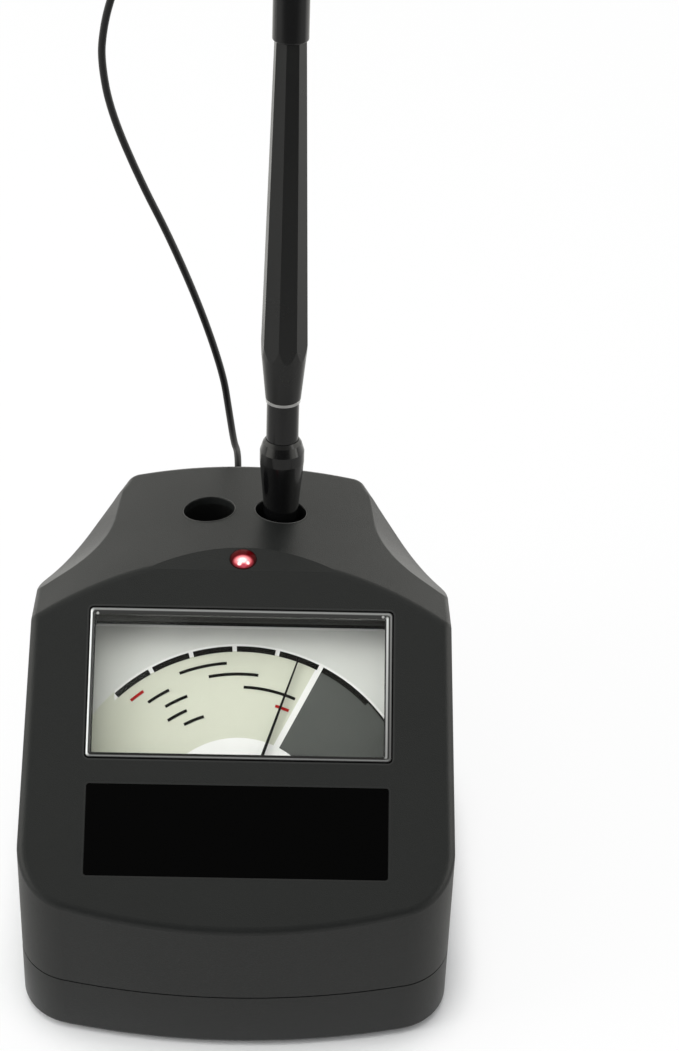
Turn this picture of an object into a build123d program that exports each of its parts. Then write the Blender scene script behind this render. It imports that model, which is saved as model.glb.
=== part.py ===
from build123d import *
import math
import os

# A handheld gem tester: a wedge-shaped desk housing with a needle meter, and a corded probe
# standing in one of two wells. X is to the right, Y to the back and Z up, in millimetres.
# The housing is drawn about the middle of its footprint, and everything is moved forward
# at the end, so that the origin is under the middle of the whole standing part.

# Housing in plan: a bowed front, nearly straight sides and a narrow rear.
housing_width = 112.0
housing_depth = 134.0
bow_radius = 197.6
corner_share = 1.0054
side_shares = ((0.971, 0.367), (0.636, 0.851), (0.57, 1.0))
plan_radii = (15.0, 14.0, 40.0, 4.0)
wall = 2.2
base_gap = 1.2
seam_height = 19.6
seam_groove = 0.4

# The flared shoulders above the rear half, as an outline at one height that leans out at 45 degrees.
shoulder_fall = 13.5
shoulder_drop = 30.0
shoulder_rise = 14.0
shoulder_radius = 60.0
shoulder_shares = ((1.696, -0.504), (0.666, 0.458), (0.411, 1.194))
shoulder_front_share = -1.642

# The sloping faces on top: meter panel, narrow flat strip, crowned deck.
front_height = 45.5
panel_tilt = 32.0
panel_head = 14.03
flat_lead = 3.14
flat_tilt = 6.5
deck_tilt = 12.66
crown_sag = 13.246
top_edge_radius = 2.5
rim_radius = 1.0
base_edge_radius = 1.5

# Clearances and cutting overrun, and how near a point must lie to a face to count as on it.
fit_gap = 0.1
slide_gap = 0.15
cord_hole_gap = 0.05
overrun = 6.0
tolerance = 0.002
edge_test_shares = (0, 0.5, 1)

# Seam tongue and case screws.
tongue_height = 2.0
tongue_width = 1.0
tongue_root = 0.3
screw_joint_height = 17.4
tower_radius = 4.0
boss_radius = 3.6
front_screw_side = 10.0
front_screw_setback = 23.0
rear_screw_side = 13.0
rear_screw_share = 0.2687
screw_head_radius = 2.8
screw_head_height = 2.0
screw_seat_height = 10.0
screw_shank_radius = 1.45
screw_bite = 7.0
screw_slot_width = 0.8
screw_slot_depth = 1.0
screw_slot_share = 1.3
head_pocket_gap = 0.3
shank_gap = 0.05

# Feet.
foot_radius = 4.5
foot_sink = 0.8
foot_edge = 0.5
front_foot_side = 18.0
front_foot_setback = 15.0
rear_foot_side = 6.42
rear_foot_setback = 10.0

# Battery bay, cells and sliding door.
cell_radius = 5.25
cell_length = 44.5
cell_pitch = 11.2
cell_count = 3
cell_nub_radius = 1.9
cell_nub_length = 0.9
bay_half_width = 17.2
bay_length = 49.0
bay_wall = 1.5
bay_top = 15.3
door_half_width = 18.5
door_lap = 3.0
door_thickness = 1.5
door_tongue = 1.0
door_tongue_low = 0.75
door_tongue_thickness = 0.7
door_tongue_length = 48.0
door_cell_gap = 0.3
grip_length = 14.0
grip_width = 1.2
grip_depth = 0.5
grip_pitch = 2.6
grip_count = 4
grip_inset = 4.0
contact_thickness = 0.4
contact_width = 8.0
contact_height = 9.0
contact_leaf = 2.2

# Circuit board and what stands on it.
board_half_width = 28.0
board_length = 90.0
rear_room = 5.0
board_bottom = 16.2
board_thickness = 1.6
post_radius = 3.2
post_x = 24.0
post_front_inset = 12.0
post_rear_inset = 22.0
board_screw_radius = 1.2
board_screw_head_radius = 2.2
board_screw_head_height = 1.5
board_screw_length = 8.0
chip_size = 14.0
chip_height = 1.8
chip_pair_offset = 16.0
small_chip_share = 0.6
capacitor_radius = 3.2
capacitor_height = 8.5
capacitor_pitch = 9.0
capacitor_count = 3
relay_length = 14.0
relay_width = 9.0
relay_height = 8.0
trimmer_radius = 3.4
trimmer_height = 4.2
trimmer_slot = 0.8

# Power socket and slide switch in the rear wall.
rear_part_gap = 0.2
socket_x = 16.0
socket_width = 9.0
socket_depth = 13.5
socket_height = 11.0
socket_collar_radius = 4.0
socket_bore_radius = 3.15
socket_bore_depth = 10.0
socket_pin_radius = 1.0
socket_pin_inset = 1.5
socket_face_inset = 0.3
switch_x = -18.0
switch_width = 9.5
switch_depth = 7.0
switch_height = 5.6
switch_slot_depth = 4.2
switch_stem_height = 2.0
knob_width = 3.0
knob_height = 2.8
knob_travel = 3.0
knob_proud = 1.0
knob_step = 0.4

# Window and clear cover of the meter, placed on the meter panel.
window_width = 79.3
window_height = 40.4
window_step = 6.5
window_corner = 1.0
window_gap = 0.25
lens_proud = 0.3
lens_top = 1.5
lens_rim = 1.3
lens_bevel = 0.9
lens_flange_thickness = 1.0
lens_flange_rise = 1.3

# Bare name panel below the window.
plate_width = 77.6
plate_height = 23.8
plate_low = 13.9
plate_depth = 1.0
plate_sink = 0.05
plate_corner = 0.8

# Meter case, dial and moving-coil movement, placed on the meter panel.
case_side = 2.35
case_wall = 1.5
case_below = 13.75
case_above = 1.9
case_top = -3.2
case_floor = -12.0
case_floor_thickness = 1.5
ear_side = 4.5
ear_low_inset = 22.0
ear_high_inset = 11.5
ear_radius = 3.0
ear_top = -7.0
ear_thickness = 2.0
dial_depth = 10.0
dial_thickness = 0.6
dial_gap = 0.2
dial_pad = 4.0
pivot_below = 14.45
pivot_hole_radius = 2.6
needle_angle = 71.0
needle_high_angle = 137.5
needle_low_angle = 45.0
needle_length = 46.2
needle_root_half = 0.55
needle_tip_half = 0.2
needle_thickness = 0.4
needle_height = -8.4
needle_hub_radius = 2.4
needle_tail = 8.0
needle_weight_radius = 1.3
stop_radius = 20.0
stop_pin_radius = 0.5
stop_margin = 3.0
stop_pin_top = -7.6
ring_inner = 7.2
ring_outer = 11.0
ring_top = -14.0
ring_bottom = -24.0
cup_wall = 1.5
cup_ledge_radius = 9.5
cup_floor = -27.5
core_radius = 5.0
core_bore = 1.0
core_web = 1.6
core_reach_gap = 0.05
coil_inner = 5.6
coil_outer = 6.6
coil_width = 2.4
coil_end = 0.8
coil_end_gap = 0.5
staff_radius = 0.5
staff_top = -7.6
staff_bottom = -26.8
bearing_radius = 1.5
bearing_gap = 0.04
bearing_bite = 1.0
bridge_length = 21.0
bridge_width = 5.0
bridge_thickness = 1.0
bridge_post_radius = 1.2
bridge_post_place = 9.2
spring_turns = 3
spring_inner = 1.0
spring_pitch = 1.1
spring_strip = 0.3
spring_height = 0.4

# Wells in the deck, their moulding and the two test discs.
well_x = 9.65
well_shift = 0.38
well_radius = 6.9
well_lip = 0.4
well_wall = 1.2
well_depth = 13.5
well_floor = 3.5
web_half_length = 18.0
web_half_width = 9.0
web_top = -8.0
web_thickness = 2.0
well_screw_offset = 10.6
well_boss_radius = 2.6
well_screw_radius = 1.2
well_screw_head_radius = 2.1
well_screw_head_height = 1.4
disc_radius = 5.0
disc_thickness = 3.0
disc_sink = 1.5
disc_edge = 0.4

# Ready light in the flat strip.
light_radius = 3.5
light_setback = 3.9
light_dome = 0.8
light_body = 7.0
light_flange_radius = 4.3
light_flange = 1.0
light_flange_gap = 0.6
lead_length = 7.0
lead_offset = 1.27
lead_thickness = 0.5
holder_radius = 5.4
holder_thickness = 2.6

# Wires inside.
wire_radius = 0.6
wire_bend = 6.0
wire_lead = 12.0
meter_wire_x = 4.0

# Probe, along its own axis from the deck at the mouth of its well. The nose's outline is given by
# pairs of height and radius.
nose_profile = (
    (-9.0, 3.0),
    (-8.4, 3.6),
    (-4.0, 4.35),
    (3.0, 4.85),
    (15.5, 5.95),
    (18.6, 5.95),
    (21.0, 5.2),
    (22.0, 4.5),
)
nose_top = 22.0
neck_radius = 4.3
neck_top = 33.0
neck_spigot_bottom = 12.0
neck_bore = 0.9
ring_radius = 4.6
ring_length = 1.2
barrel_bottom = 34.2
barrel_top = 134.0
barrel_low_radius = 4.7
barrel_cone_height = 50.0
barrel_cone_radius = 6.25
barrel_sides = 8
barrel_turn = 9.5
barrel_corner_radius = 6.68
barrel_end_radius = 4.15
barrel_bore = 2.6
sleeve_bottom = 133.5
sleeve_top = 165.0
sleeve_radius = 4.65
sleeve_edge = 0.5
tail_length = 9.0
tail_radius = 3.5
tail_end_radius = 1.9
tail_plug_length = 4.0
tail_ribs = 3
tail_rib_width = 0.8
tail_rib_depth = 0.45
tip_rest_gap = 0.2
tip_radius = 0.75
tip_point_radius = 0.25
tip_point_length = 1.6
tip_top = 7.0
plunger_radius = 2.0
plunger_bottom = -5.9
plunger_top = 0.0
nose_bore = 2.15
nose_bore_bottom = -6.0
tip_hole_gap = 0.12
coil_spring_radius = 1.45
coil_spring_wire = 0.2
coil_spring_turns = 5
strip_half_width = 2.0
strip_thickness = 1.0
strip_bottom = 40.0
strip_top = 118.0

# Cord and its strain relief on the rear wall.
cord_radius = 1.0
gland_x = -3.0
gland_height = 42.0
gland_hole_radius = 3.2
gland_collar_radius = 4.6
gland_collar_thickness = 1.6
gland_length = 17.0
gland_root_radius = 3.1
gland_end_radius = 1.9
gland_inner_radius = 4.2
gland_inner_thickness = 1.4
gland_ribs = 4
gland_rib_width = 1.2
gland_rib_depth = 0.5
gland_bare_share = 0.25
inner_cord_setback = 17.0
inner_cord_bend = 8.0
cord_start_lead = 9.0
cord_end_lead = 10.0
cord_bend_share = 0.45

# Where the cord goes between its two ends, seen behind the rear edge and over to the probe's tail.
cord_points = (
    (-3.1, 100.4, 46.8),
    (-3.0, 102.9, 55.6),
    (-3.3, 99.3, 64.2),
    (-4.1, 93.6, 71.5),
    (-5.6, 89.0, 88.0),
    (-7.2, 88.0, 101.5),
    (-13.2, 87.0, 124.6),
    (-21.5, 86.0, 149.4),
    (-29.2, 85.0, 168.8),
    (-36.5, 84.0, 191.2),
    (-38.5, 84.2, 206.4),
    (-37.7, 84.0, 215.3),
    (-35.8, 84.0, 224.1),
    (-30.4, 83.7, 240.2),
    (-24.4, 83.5, 256.2),
    (-18.3, 83.5, 271.5),
    (-12.2, 83.8, 287.3),
    (-4.5, 84.2, 291.8),
    (4.2, 84.5, 290.2),
    (9.9, 84.1, 283.4),
)

# Worked out from the above.
half_width = housing_width / 2
half_depth = housing_depth / 2
reach = 4 * housing_width
board_top = board_bottom + board_thickness
standing_setback = gland_length / 2
door_top = base_gap + door_thickness
front_screw_x = half_width - front_screw_side
front_screw_y = front_screw_setback - half_depth
rear_screw_x = half_width - rear_screw_side
rear_screw_y = rear_screw_share * half_depth
front_foot_x = half_width - front_foot_side
front_foot_y = front_foot_setback - half_depth
rear_foot_x = side_shares[-1][0] * half_width - rear_foot_side
rear_foot_y = half_depth - rear_foot_setback
bay_front = half_depth - rear_room - bay_length
door_front = bay_front - door_lap
board_rear = half_depth - rear_room
board_front = board_rear - board_length
post_front_y = board_front + post_front_inset
post_rear_y = board_rear - post_rear_inset
inner_cord_bend_y = half_depth - inner_cord_setback
plate_middle = plate_low + plate_height / 2
window_low = plate_low + plate_height + window_step
window_middle = window_low + window_height / 2
window_high = window_low + window_height
pivot_height = window_low - pivot_below
case_low = pivot_height - case_below
case_high = window_high + case_above
case_half_width = window_width / 2 + case_side
ear_x = case_half_width + ear_side
ear_low = case_low + ear_low_inset
ear_high = case_high - ear_high_inset

# The ridge is the line where the panel's slope and the deck's would meet.
panel_fall = math.tan(math.radians(panel_tilt))
deck_fall = math.tan(math.radians(deck_tilt))
ridge_setback = (window_high + panel_head) * math.cos(math.radians(panel_tilt))
ridge_y = ridge_setback - half_depth
deck_height = front_height + ridge_setback * panel_fall + ridge_y * deck_fall
crown_radius = (half_width ** 2 + crown_sag ** 2) / (2 * crown_sag)
shoulder_height = deck_height - shoulder_fall
well_y = ridge_setback / 2 + well_shift
ceiling_reach = deck_height
tip_bottom = tip_rest_gap - well_depth + disc_thickness - disc_sink
tail_top = sleeve_top + tail_length


def slope(y_origin, z_origin, tilt):
    """A plane that leans: its normal points up and back for a positive tilt, up and forward else."""
    normal = (0, math.sin(math.radians(tilt)), math.cos(math.radians(tilt)))
    return Plane(origin=(0, y_origin, z_origin), x_dir=(1, 0, 0), z_dir=normal)


def panel_z(y):
    """Height of the meter panel at a distance from the middle of the footprint."""
    return front_height + (y + half_depth) * panel_fall


flat_y = ridge_y - flat_lead
panel = slope(-half_depth, front_height, -panel_tilt)
flat = slope(flat_y, panel_z(flat_y), -flat_tilt)
deck = slope(0, deck_height, deck_tilt)
well_drop = crown_radius - math.sqrt(crown_radius ** 2 - well_x ** 2)
well_height = deck_height - well_y * deck_fall
wells = slope(well_y, well_height, deck_tilt)
wells = wells.offset(-well_drop)
probe_axis = wells.z_dir
probe_origin = wells.origin + wells.x_dir * well_x
light = Plane(origin=flat.origin + flat.y_dir * light_setback, x_dir=flat.x_dir, z_dir=flat.z_dir)


def block(x_low, x_high, y_low, y_high, z_low, z_high):
    """A box between two corners."""
    middle = ((x_low + x_high) / 2, (y_low + y_high) / 2, (z_low + z_high) / 2)
    return Pos(*middle) * Box(x_high - x_low, y_high - y_low, z_high - z_low)


def rod(radius, low, high, x=0, y=0):
    """An upright cylinder between two heights."""
    return Pos(x, y, (low + high) / 2) * Cylinder(radius, high - low)


def rounded(width, height, corner, low, high, x=0, y=0):
    """An upright block with rounded corners between two heights."""
    return Pos(x, y, low) * extrude(RectangleRounded(width, height, corner), high - low)


def turned(profile, bore=0):
    """A solid turned about Z from (height, radius) points, with an optional bore."""
    points = [(radius, height) for height, radius in profile]
    bottom = profile[0][0]
    top = profile[-1][0]
    outline = Polyline((bore, bottom), *points, (bore, top), close=True)
    return revolve(Plane.XZ * make_face(outline), Axis.Z)


def mirrored(place_x, place_y):
    """The two places left and right of the middle."""
    return ((place_x, place_y), (-place_x, place_y))


def nearest_corners(face, x, y):
    """The corners of a face that lie nearest to a place and to its mirror image."""
    return [min(face.vertices(), key=lambda v: math.hypot(v.X - side, v.Y - y)) for side in (x, -x)]


def plan(inset=0):
    """The housing's outline seen from above, drawn in by an inset."""
    corner_x = corner_share * half_width
    corner_y = bow_radius - half_depth - math.sqrt(bow_radius ** 2 - corner_x ** 2)
    right = [(corner_x, corner_y)]
    right += [(share_x * half_width, share_y * half_depth) for share_x, share_y in side_shares]
    left = [(-x, y) for x, y in reversed(right)]
    bow = ThreePointArc((-corner_x, corner_y), (0, -half_depth), (corner_x, corner_y))
    outline = Curve() + [bow, Polyline(*right), Line(right[-1], left[0]), Polyline(*left)]
    face = make_face(outline)
    for (x, y), radius in zip(right, plan_radii):
        face = fillet(nearest_corners(face, x, y), radius)
    if inset:
        face = offset(face, -inset, kind=Kind.INTERSECTION)
    return face


def ring_wall(outer_inset, inner_inset, low, high):
    """A wall that follows the plan between two insets and two heights."""
    outer = extrude(Pos(0, 0, low) * plan(outer_inset), high - low)
    inner = extrude(Pos(0, 0, low) * plan(inner_inset), high - low)
    return outer - inner


def shoulders(inset):
    """The space under the flared shoulders, open to the front."""
    side = [(share_x * half_width, share_y * half_depth) for share_x, share_y in shoulder_shares]
    front_x = side[0][0]
    front_y = shoulder_front_share * half_depth
    left = [(-x, y) for x, y in reversed(side)]
    face = make_face(Polyline((front_x, front_y), *side, *left, (-front_x, front_y), close=True))
    face = fillet(nearest_corners(face, *side[1]), shoulder_radius)
    drawn_in = inset * math.sqrt(2)
    low = offset(face, shoulder_drop - drawn_in, kind=Kind.INTERSECTION)
    high = offset(face, -shoulder_rise - drawn_in, kind=Kind.INTERSECTION)
    low_height = shoulder_height - shoulder_drop
    high_height = shoulder_height + shoulder_rise
    sections = [Pos(0, 0, low_height) * low.face(), Pos(0, 0, high_height) * high.face()]
    below = Box(reach, reach, reach, align=(Align.CENTER, Align.CENTER, Align.MAX))
    return loft(sections, ruled=True) + Pos(0, 0, low_height) * below


def above(plane, distance):
    """Everything further out than a distance from a plane."""
    half_space = Box(reach, reach, reach, align=(Align.CENTER, Align.CENTER, Align.MIN))
    return plane.location * Pos(0, 0, distance) * half_space


def plain_form(inset=0):
    """The form before its shoulders are drawn in: plan, crown, panel and flat strip."""
    bottom = base_gap + inset
    body = extrude(Pos(0, 0, bottom) * plan(inset), ceiling_reach + wall)
    crown = deck.location * Pos(0, 0, -crown_radius) * Rot(90, 0, 0) * Cylinder(crown_radius - inset, reach)
    return (body & crown) - above(panel, -inset) - above(flat, -inset)


def form(inset=0):
    """The housing's whole outer form, drawn in by an inset on every face."""
    return plain_form(inset) & shoulders(inset)


def on_plane(plane):
    """A test of whether a point lies on a plane."""
    return lambda point: abs((point - plane.origin).dot(plane.z_dir)) < tolerance


def on_crown(point):
    """Whether a point lies on the crowned deck."""
    offset_from_axis = point - (deck.origin - deck.z_dir * crown_radius)
    across = offset_from_axis - deck.y_dir * offset_from_axis.dot(deck.y_dir)
    return abs(across.length - crown_radius) < tolerance


def on_any(faces, point):
    """Whether a point lies on one of some faces."""
    return min(face.distance_to(point) for face in faces) < tolerance


def edges_where(body, test):
    """The edges whose ends and middle all pass a test."""
    return [edge for edge in body.edges() if all(test(edge @ place) for place in edge_test_shares)]


def rounded_form():
    """The outer form with its edges rounded: the top's edges first, then the shoulder rims and the base."""
    body = plain_form()
    on_panel = on_plane(panel)
    flat_edges = edges_where(body, on_plane(flat))
    top_edges = edges_where(body, lambda point: on_panel(point) or on_crown(point))
    sharp_edges = [edge for edge in top_edges if not any(edge.is_same(other) for other in flat_edges)]
    leaning = shoulders(0)
    body = fillet(sharp_edges, top_edge_radius) & leaning
    rim_edges = edges_where(body, lambda point: on_crown(point) and on_any(leaning.faces(), point))
    body = fillet(rim_edges, rim_radius)
    base_edges = edges_where(body, lambda point: abs(point.Z - base_gap) < tolerance)
    return fillet(base_edges, base_edge_radius)


def rear_ports():
    """The openings that the power socket and the switch need in the rear wall."""
    socket_z = board_top + socket_height / 2
    switch_z = board_top + switch_height / 2
    slot_half = (knob_width + knob_travel) / 2 + rear_part_gap
    slot_rise = knob_height / 2 + rear_part_gap
    wall_front = half_depth - wall - tongue_width - 2 * slide_gap
    wall_rear = half_depth - wall
    bore = rod(socket_collar_radius + rear_part_gap, 0, reach)
    hole = Pos(socket_x, 0, socket_z) * Rot(-90, 0, 0) * bore
    slot = block(switch_x - slot_half, switch_x + slot_half, 0, reach,
                 switch_z - slot_rise, switch_z + slot_rise)
    socket_side = socket_width / 2 + rear_part_gap
    socket_room = block(socket_x - socket_side, socket_x + socket_side, wall_front, wall_rear, board_top,
                        board_top + socket_height + rear_part_gap)
    switch_side = switch_width / 2 + rear_part_gap
    switch_room = block(switch_x - switch_side, switch_x + switch_side, wall_front, wall_rear, board_top,
                        board_top + switch_height + rear_part_gap)
    front_cut = block(-reach, reach, -reach, wall_front, -reach, reach)
    return (hole + slot - front_cut) + socket_room + switch_room


def groove():
    """The shallow groove that runs round the housing at the seam."""
    return ring_wall(-seam_groove, seam_groove, seam_height - seam_groove / 2, seam_height + seam_groove / 2)


def screw_places():
    """Where the four case screws stand."""
    return mirrored(front_screw_x, front_screw_y) + mirrored(rear_screw_x, rear_screw_y)


def gland_hole():
    """The round hole in the rear wall for the cord's strain relief."""
    start = half_depth - wall - overrun
    bore = Rot(-90, 0, 0) * rod(gland_hole_radius + fit_gap, start, half_depth + overrun)
    return Pos(gland_x, 0, gland_height) * bore


def top_cover(outer, inner, root):
    """The upper shell, with its window, recess, wells, light hole and screw posts."""
    shell = outer - inner - block(-reach, reach, -reach, reach, -reach, seam_height)
    posts = [rod(boss_radius, screw_joint_height, ceiling_reach, x, y) & root for x, y in screw_places()]
    for side in (ear_x, -ear_x):
        for up in (ear_low, ear_high):
            posts.append(panel.location * rod(ear_radius, ear_top, -wall / 2, side, up))
    for back in (well_screw_offset, -well_screw_offset):
        posts.append(wells.location * rod(well_boss_radius, web_top + web_thickness, -wall / 2, 0, back))
    shell = shell + posts
    pilot_top = screw_seat_height + screw_bite + tower_radius * 2
    for x, y in screw_places():
        shell -= rod(screw_shank_radius + shank_gap, 0, pilot_top, x, y)
    pilot = board_screw_radius + shank_gap
    for side in (ear_x, -ear_x):
        for up in (ear_low, ear_high):
            shell -= panel.location * rod(pilot, ear_top - overrun, case_top, side, up)
    pilot = well_screw_radius + shank_gap
    for back in (well_screw_offset, -well_screw_offset):
        shell -= wells.location * rod(pilot, web_top - overrun, -wall - well_lip, 0, back)
    window = rounded(window_width, window_height, window_corner, -wall - overrun, overrun, 0, window_middle)
    recess = rounded(plate_width, plate_height, plate_corner, -plate_depth, overrun, 0, plate_middle)
    shell -= panel.location * window
    shell -= panel.location * recess
    shell -= light.location * rod(light_radius + fit_gap, -wall - overrun / 2, overrun)
    for side in (well_x, -well_x):
        shell -= wells.location * rod(well_radius, -well_depth, overrun, side)
    lips = edges_where(shell, lambda point: on_crown(point) and near_well(point))
    shell = fillet(lips, well_lip)
    return shell - groove() - rear_ports() - gland_hole()


def near_well(point):
    """Whether a point lies on the wall of one of the two wells."""
    away = point - wells.origin
    across = away - wells.z_dir * away.dot(wells.z_dir)
    radii = [(across - wells.x_dir * side).length for side in (well_x, -well_x)]
    return min(abs(radius - well_radius) for radius in radii) < tolerance


def door_room():
    """What the battery door and its tongues need in the floor, open to the rear."""
    rear = half_depth + overrun
    side = door_half_width + slide_gap
    groove_side = side + door_tongue
    tongue_low = base_gap + door_tongue_low - slide_gap
    tongue_high = base_gap + door_tongue_low + door_tongue_thickness + slide_gap
    front = door_front - slide_gap
    slot = block(-side, side, front, rear, base_gap - overrun, door_top + slide_gap)
    return slot + block(-groove_side, groove_side, front, rear, tongue_low, tongue_high)


def bottom_cover(outer, inner):
    """The lower shell, with the screw towers, board posts, battery bay and door slot."""
    shell = outer - inner - block(-reach, reach, -reach, reach, seam_height, reach)
    inner_inset = wall + slide_gap + tongue_width
    tongue_foot = seam_height - tongue_height
    shell += ring_wall(wall - tongue_root, inner_inset, tongue_foot, seam_height)
    shell += ring_wall(wall + slide_gap, inner_inset, tongue_foot, seam_height + tongue_height)
    for x, y in screw_places():
        shell += rod(tower_radius, base_gap, screw_joint_height, x, y)
    for y in (post_front_y, post_rear_y):
        for x in (post_x, -post_x):
            shell += rod(post_radius, base_gap + wall / 2, board_bottom, x, y)
    bay_rear = bay_front + bay_length
    bay_side = bay_half_width + bay_wall
    shell += block(-bay_side, bay_side, bay_front - bay_wall, bay_rear + bay_wall,
                   base_gap + wall / 2, bay_top)
    shell -= block(-bay_half_width, bay_half_width, bay_front, bay_rear,
                   base_gap - overrun, bay_top - bay_wall)
    for x, y in screw_places():
        shell -= rod(screw_head_radius + head_pocket_gap, -overrun, screw_seat_height, x, y)
        shell -= rod(screw_shank_radius + shank_gap, 0, screw_joint_height + overrun, x, y)
    for x, y in mirrored(front_foot_x, front_foot_y) + mirrored(rear_foot_x, rear_foot_y):
        shell -= rod(foot_radius + fit_gap, base_gap - overrun, base_gap + foot_sink, x, y)
    for y in (post_front_y, post_rear_y):
        for x in (post_x, -post_x):
            shell -= rod(board_screw_radius + shank_gap, board_top - board_screw_length, reach, x, y)
    return shell - door_room() - groove() - rear_ports()


def rubber_feet():
    """Four round feet pressed into the recesses of the base."""
    foot = rod(foot_radius, 0, base_gap + foot_sink)
    foot = chamfer(foot.edges().group_by(Axis.Z)[0], foot_edge)
    places = mirrored(front_foot_x, front_foot_y) + mirrored(rear_foot_x, rear_foot_y)
    return Compound([Pos(x, y, 0) * foot for x, y in places])


def screw(head_radius, head_height, shank_radius, length, slot_width, slot_depth):
    """A pan-head screw that hangs down from its seat at height zero, with a cross recess in its head."""
    head = rod(head_radius, 0, head_height)
    head = fillet(head.edges().group_by(Axis.Z)[-1], head_height / 3)
    arm = head_radius * screw_slot_share
    slot = Box(arm, slot_width, 2 * slot_depth) + Box(slot_width, arm, 2 * slot_depth)
    return head + rod(shank_radius, -length, 0) - Pos(0, 0, head_height) * slot


def case_screws():
    """Four screws that come up from below through the towers into the posts of the upper shell."""
    length = screw_joint_height - screw_seat_height + screw_bite
    piece = screw(screw_head_radius, screw_head_height, screw_shank_radius, length,
                  screw_slot_width, screw_slot_depth)
    piece = Rot(180, 0, 0) * piece
    return Compound([Pos(x, y, screw_seat_height) * piece for x, y in screw_places()])


def battery_cells():
    """Three round cells, each with its terminal nub, laid side by side and pointing both ways in turn."""
    body = rod(cell_radius, -cell_length / 2, cell_length / 2 - cell_nub_length)
    body = chamfer(body.edges(), disc_edge)
    body += rod(cell_nub_radius, 0, cell_length / 2)
    height = door_top + door_cell_gap + cell_radius
    middle = bay_front + bay_length / 2
    cells = []
    for index in range(cell_count):
        x = (index - (cell_count - 1) / 2) * cell_pitch
        turn = 90 if index % 2 else -90
        cells.append(Pos(x, middle, height) * Rot(turn, 0, 0) * body)
    return Compound(cells)


def battery_contacts():
    """Sprung leaf plates at both ends of the bay, which press on the cells."""
    height = door_top + door_cell_gap + cell_radius
    half = bay_length / 2
    middle = bay_front + half
    leaf_run = half - cell_length / 2 - contact_thickness
    plates = []
    for index in range(cell_count):
        x = (index - (cell_count - 1) / 2) * cell_pitch
        for end in (1, -1):
            plate = block(-contact_width / 2, contact_width / 2, half - contact_thickness, half,
                          -contact_height / 2, contact_height / 2)
            leaf = block(-contact_leaf / 2, contact_leaf / 2, half - contact_thickness - leaf_run, half,
                         -contact_leaf / 2, contact_leaf / 2)
            contact = plate + leaf
            turn = 0 if end > 0 else 180
            plates.append(Pos(x, middle, height) * Rot(0, 0, turn) * contact)
    return Compound(plates)


def battery_door(outer):
    """The sliding door, flush with the base, with side tongues and finger grooves."""
    plate = block(-door_half_width, door_half_width, door_front, half_depth + overrun, 0, door_top) & outer
    tongue_side = door_half_width + door_tongue
    tongue_low = base_gap + door_tongue_low
    tongue_start = door_front + door_tongue
    plate += block(-tongue_side, tongue_side, tongue_start, tongue_start + door_tongue_length,
                   tongue_low, tongue_low + door_tongue_thickness)
    for index in range(grip_count):
        y = half_depth - base_edge_radius - grip_inset - index * grip_pitch
        plate -= block(-grip_length / 2, grip_length / 2, y - grip_width / 2, y + grip_width / 2,
                       0, base_gap + grip_depth)
    return plate


def circuit_board():
    """The board on its four posts."""
    board = block(-board_half_width, board_half_width, board_front, board_rear, board_bottom, board_top)
    for y in (post_front_y, post_rear_y):
        for x in (post_x, -post_x):
            board -= rod(board_screw_radius + fit_gap, 0, reach, x, y)
    return board


def board_screws():
    """Four small screws that hold the board to its posts."""
    length = board_screw_length - fit_gap
    piece = screw(board_screw_head_radius, board_screw_head_height, board_screw_radius, length,
                  screw_slot_width, screw_slot_depth / 2)
    places = mirrored(post_x, post_front_y) + mirrored(post_x, post_rear_y)
    return Compound([Pos(x, y, board_top) * piece for x, y in places])


def board_chips():
    """The main chip and two smaller ones."""
    half = chip_size / 2
    small = chip_size * small_chip_share
    top = board_top + chip_height
    chips = [block(-half, half, -half, half, board_top, top)]
    for side in (chip_pair_offset, -chip_pair_offset):
        chips.append(block(side - small / 2, side + small / 2, -small, small, board_top, top))
    return Compound(chips)


def board_capacitors():
    """Three round capacitors in a row."""
    can = rod(capacitor_radius, board_top, board_top + capacitor_height)
    can = fillet(can.edges().group_by(Axis.Z)[-1], disc_edge)
    places = [chip_size + index * capacitor_pitch for index in range(capacitor_count)]
    return Compound([Pos(-chip_pair_offset, y, 0) * can for y in places])


def supply_relay():
    """The block that switches the heater supply."""
    x = chip_pair_offset
    y = chip_size + relay_length / 2
    body = block(x - relay_width / 2, x + relay_width / 2, y - relay_length / 2, y + relay_length / 2,
                 board_top, board_top + relay_height)
    return chamfer(body.edges().group_by(Axis.Z)[-1], disc_edge)


def setting_trimmer():
    """The round trimmer that sets the scale, with a screwdriver slot."""
    body = rod(trimmer_radius, board_top, board_top + trimmer_height)
    body -= Pos(0, 0, board_top + trimmer_height) * Box(2 * trimmer_radius, trimmer_slot, trimmer_slot)
    return Pos(0, post_front_y, 0) * body


def power_socket():
    """The barrel socket in the rear wall, with its centre pin."""
    rear = half_depth - wall - rear_part_gap
    height = socket_height / 2
    body = block(-socket_width / 2, socket_width / 2, rear - socket_depth, rear, -height, height)
    body += Rot(-90, 0, 0) * rod(socket_collar_radius, rear - wall, half_depth - socket_face_inset)
    face = half_depth - socket_face_inset
    body -= Rot(-90, 0, 0) * rod(socket_bore_radius, face - socket_bore_depth, half_depth + overrun)
    body += Rot(-90, 0, 0) * rod(socket_pin_radius, face - socket_bore_depth - wall, face - socket_pin_inset)
    return Pos(socket_x, 0, board_top + height) * body


def switch_body():
    """The slide switch's frame on the board, with the slot that its knob runs in."""
    rear = half_depth - wall - rear_part_gap
    body = block(-switch_width / 2, switch_width / 2, rear - switch_depth, rear,
                 -switch_height / 2, switch_height / 2)
    slot_half = (knob_width + knob_travel) / 2 + slide_gap
    slot_rise = switch_stem_height / 2 + slide_gap
    body -= block(-slot_half, slot_half, rear - switch_slot_depth, rear + overrun, -slot_rise, slot_rise)
    return Pos(switch_x, 0, board_top + switch_height / 2) * body


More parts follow.
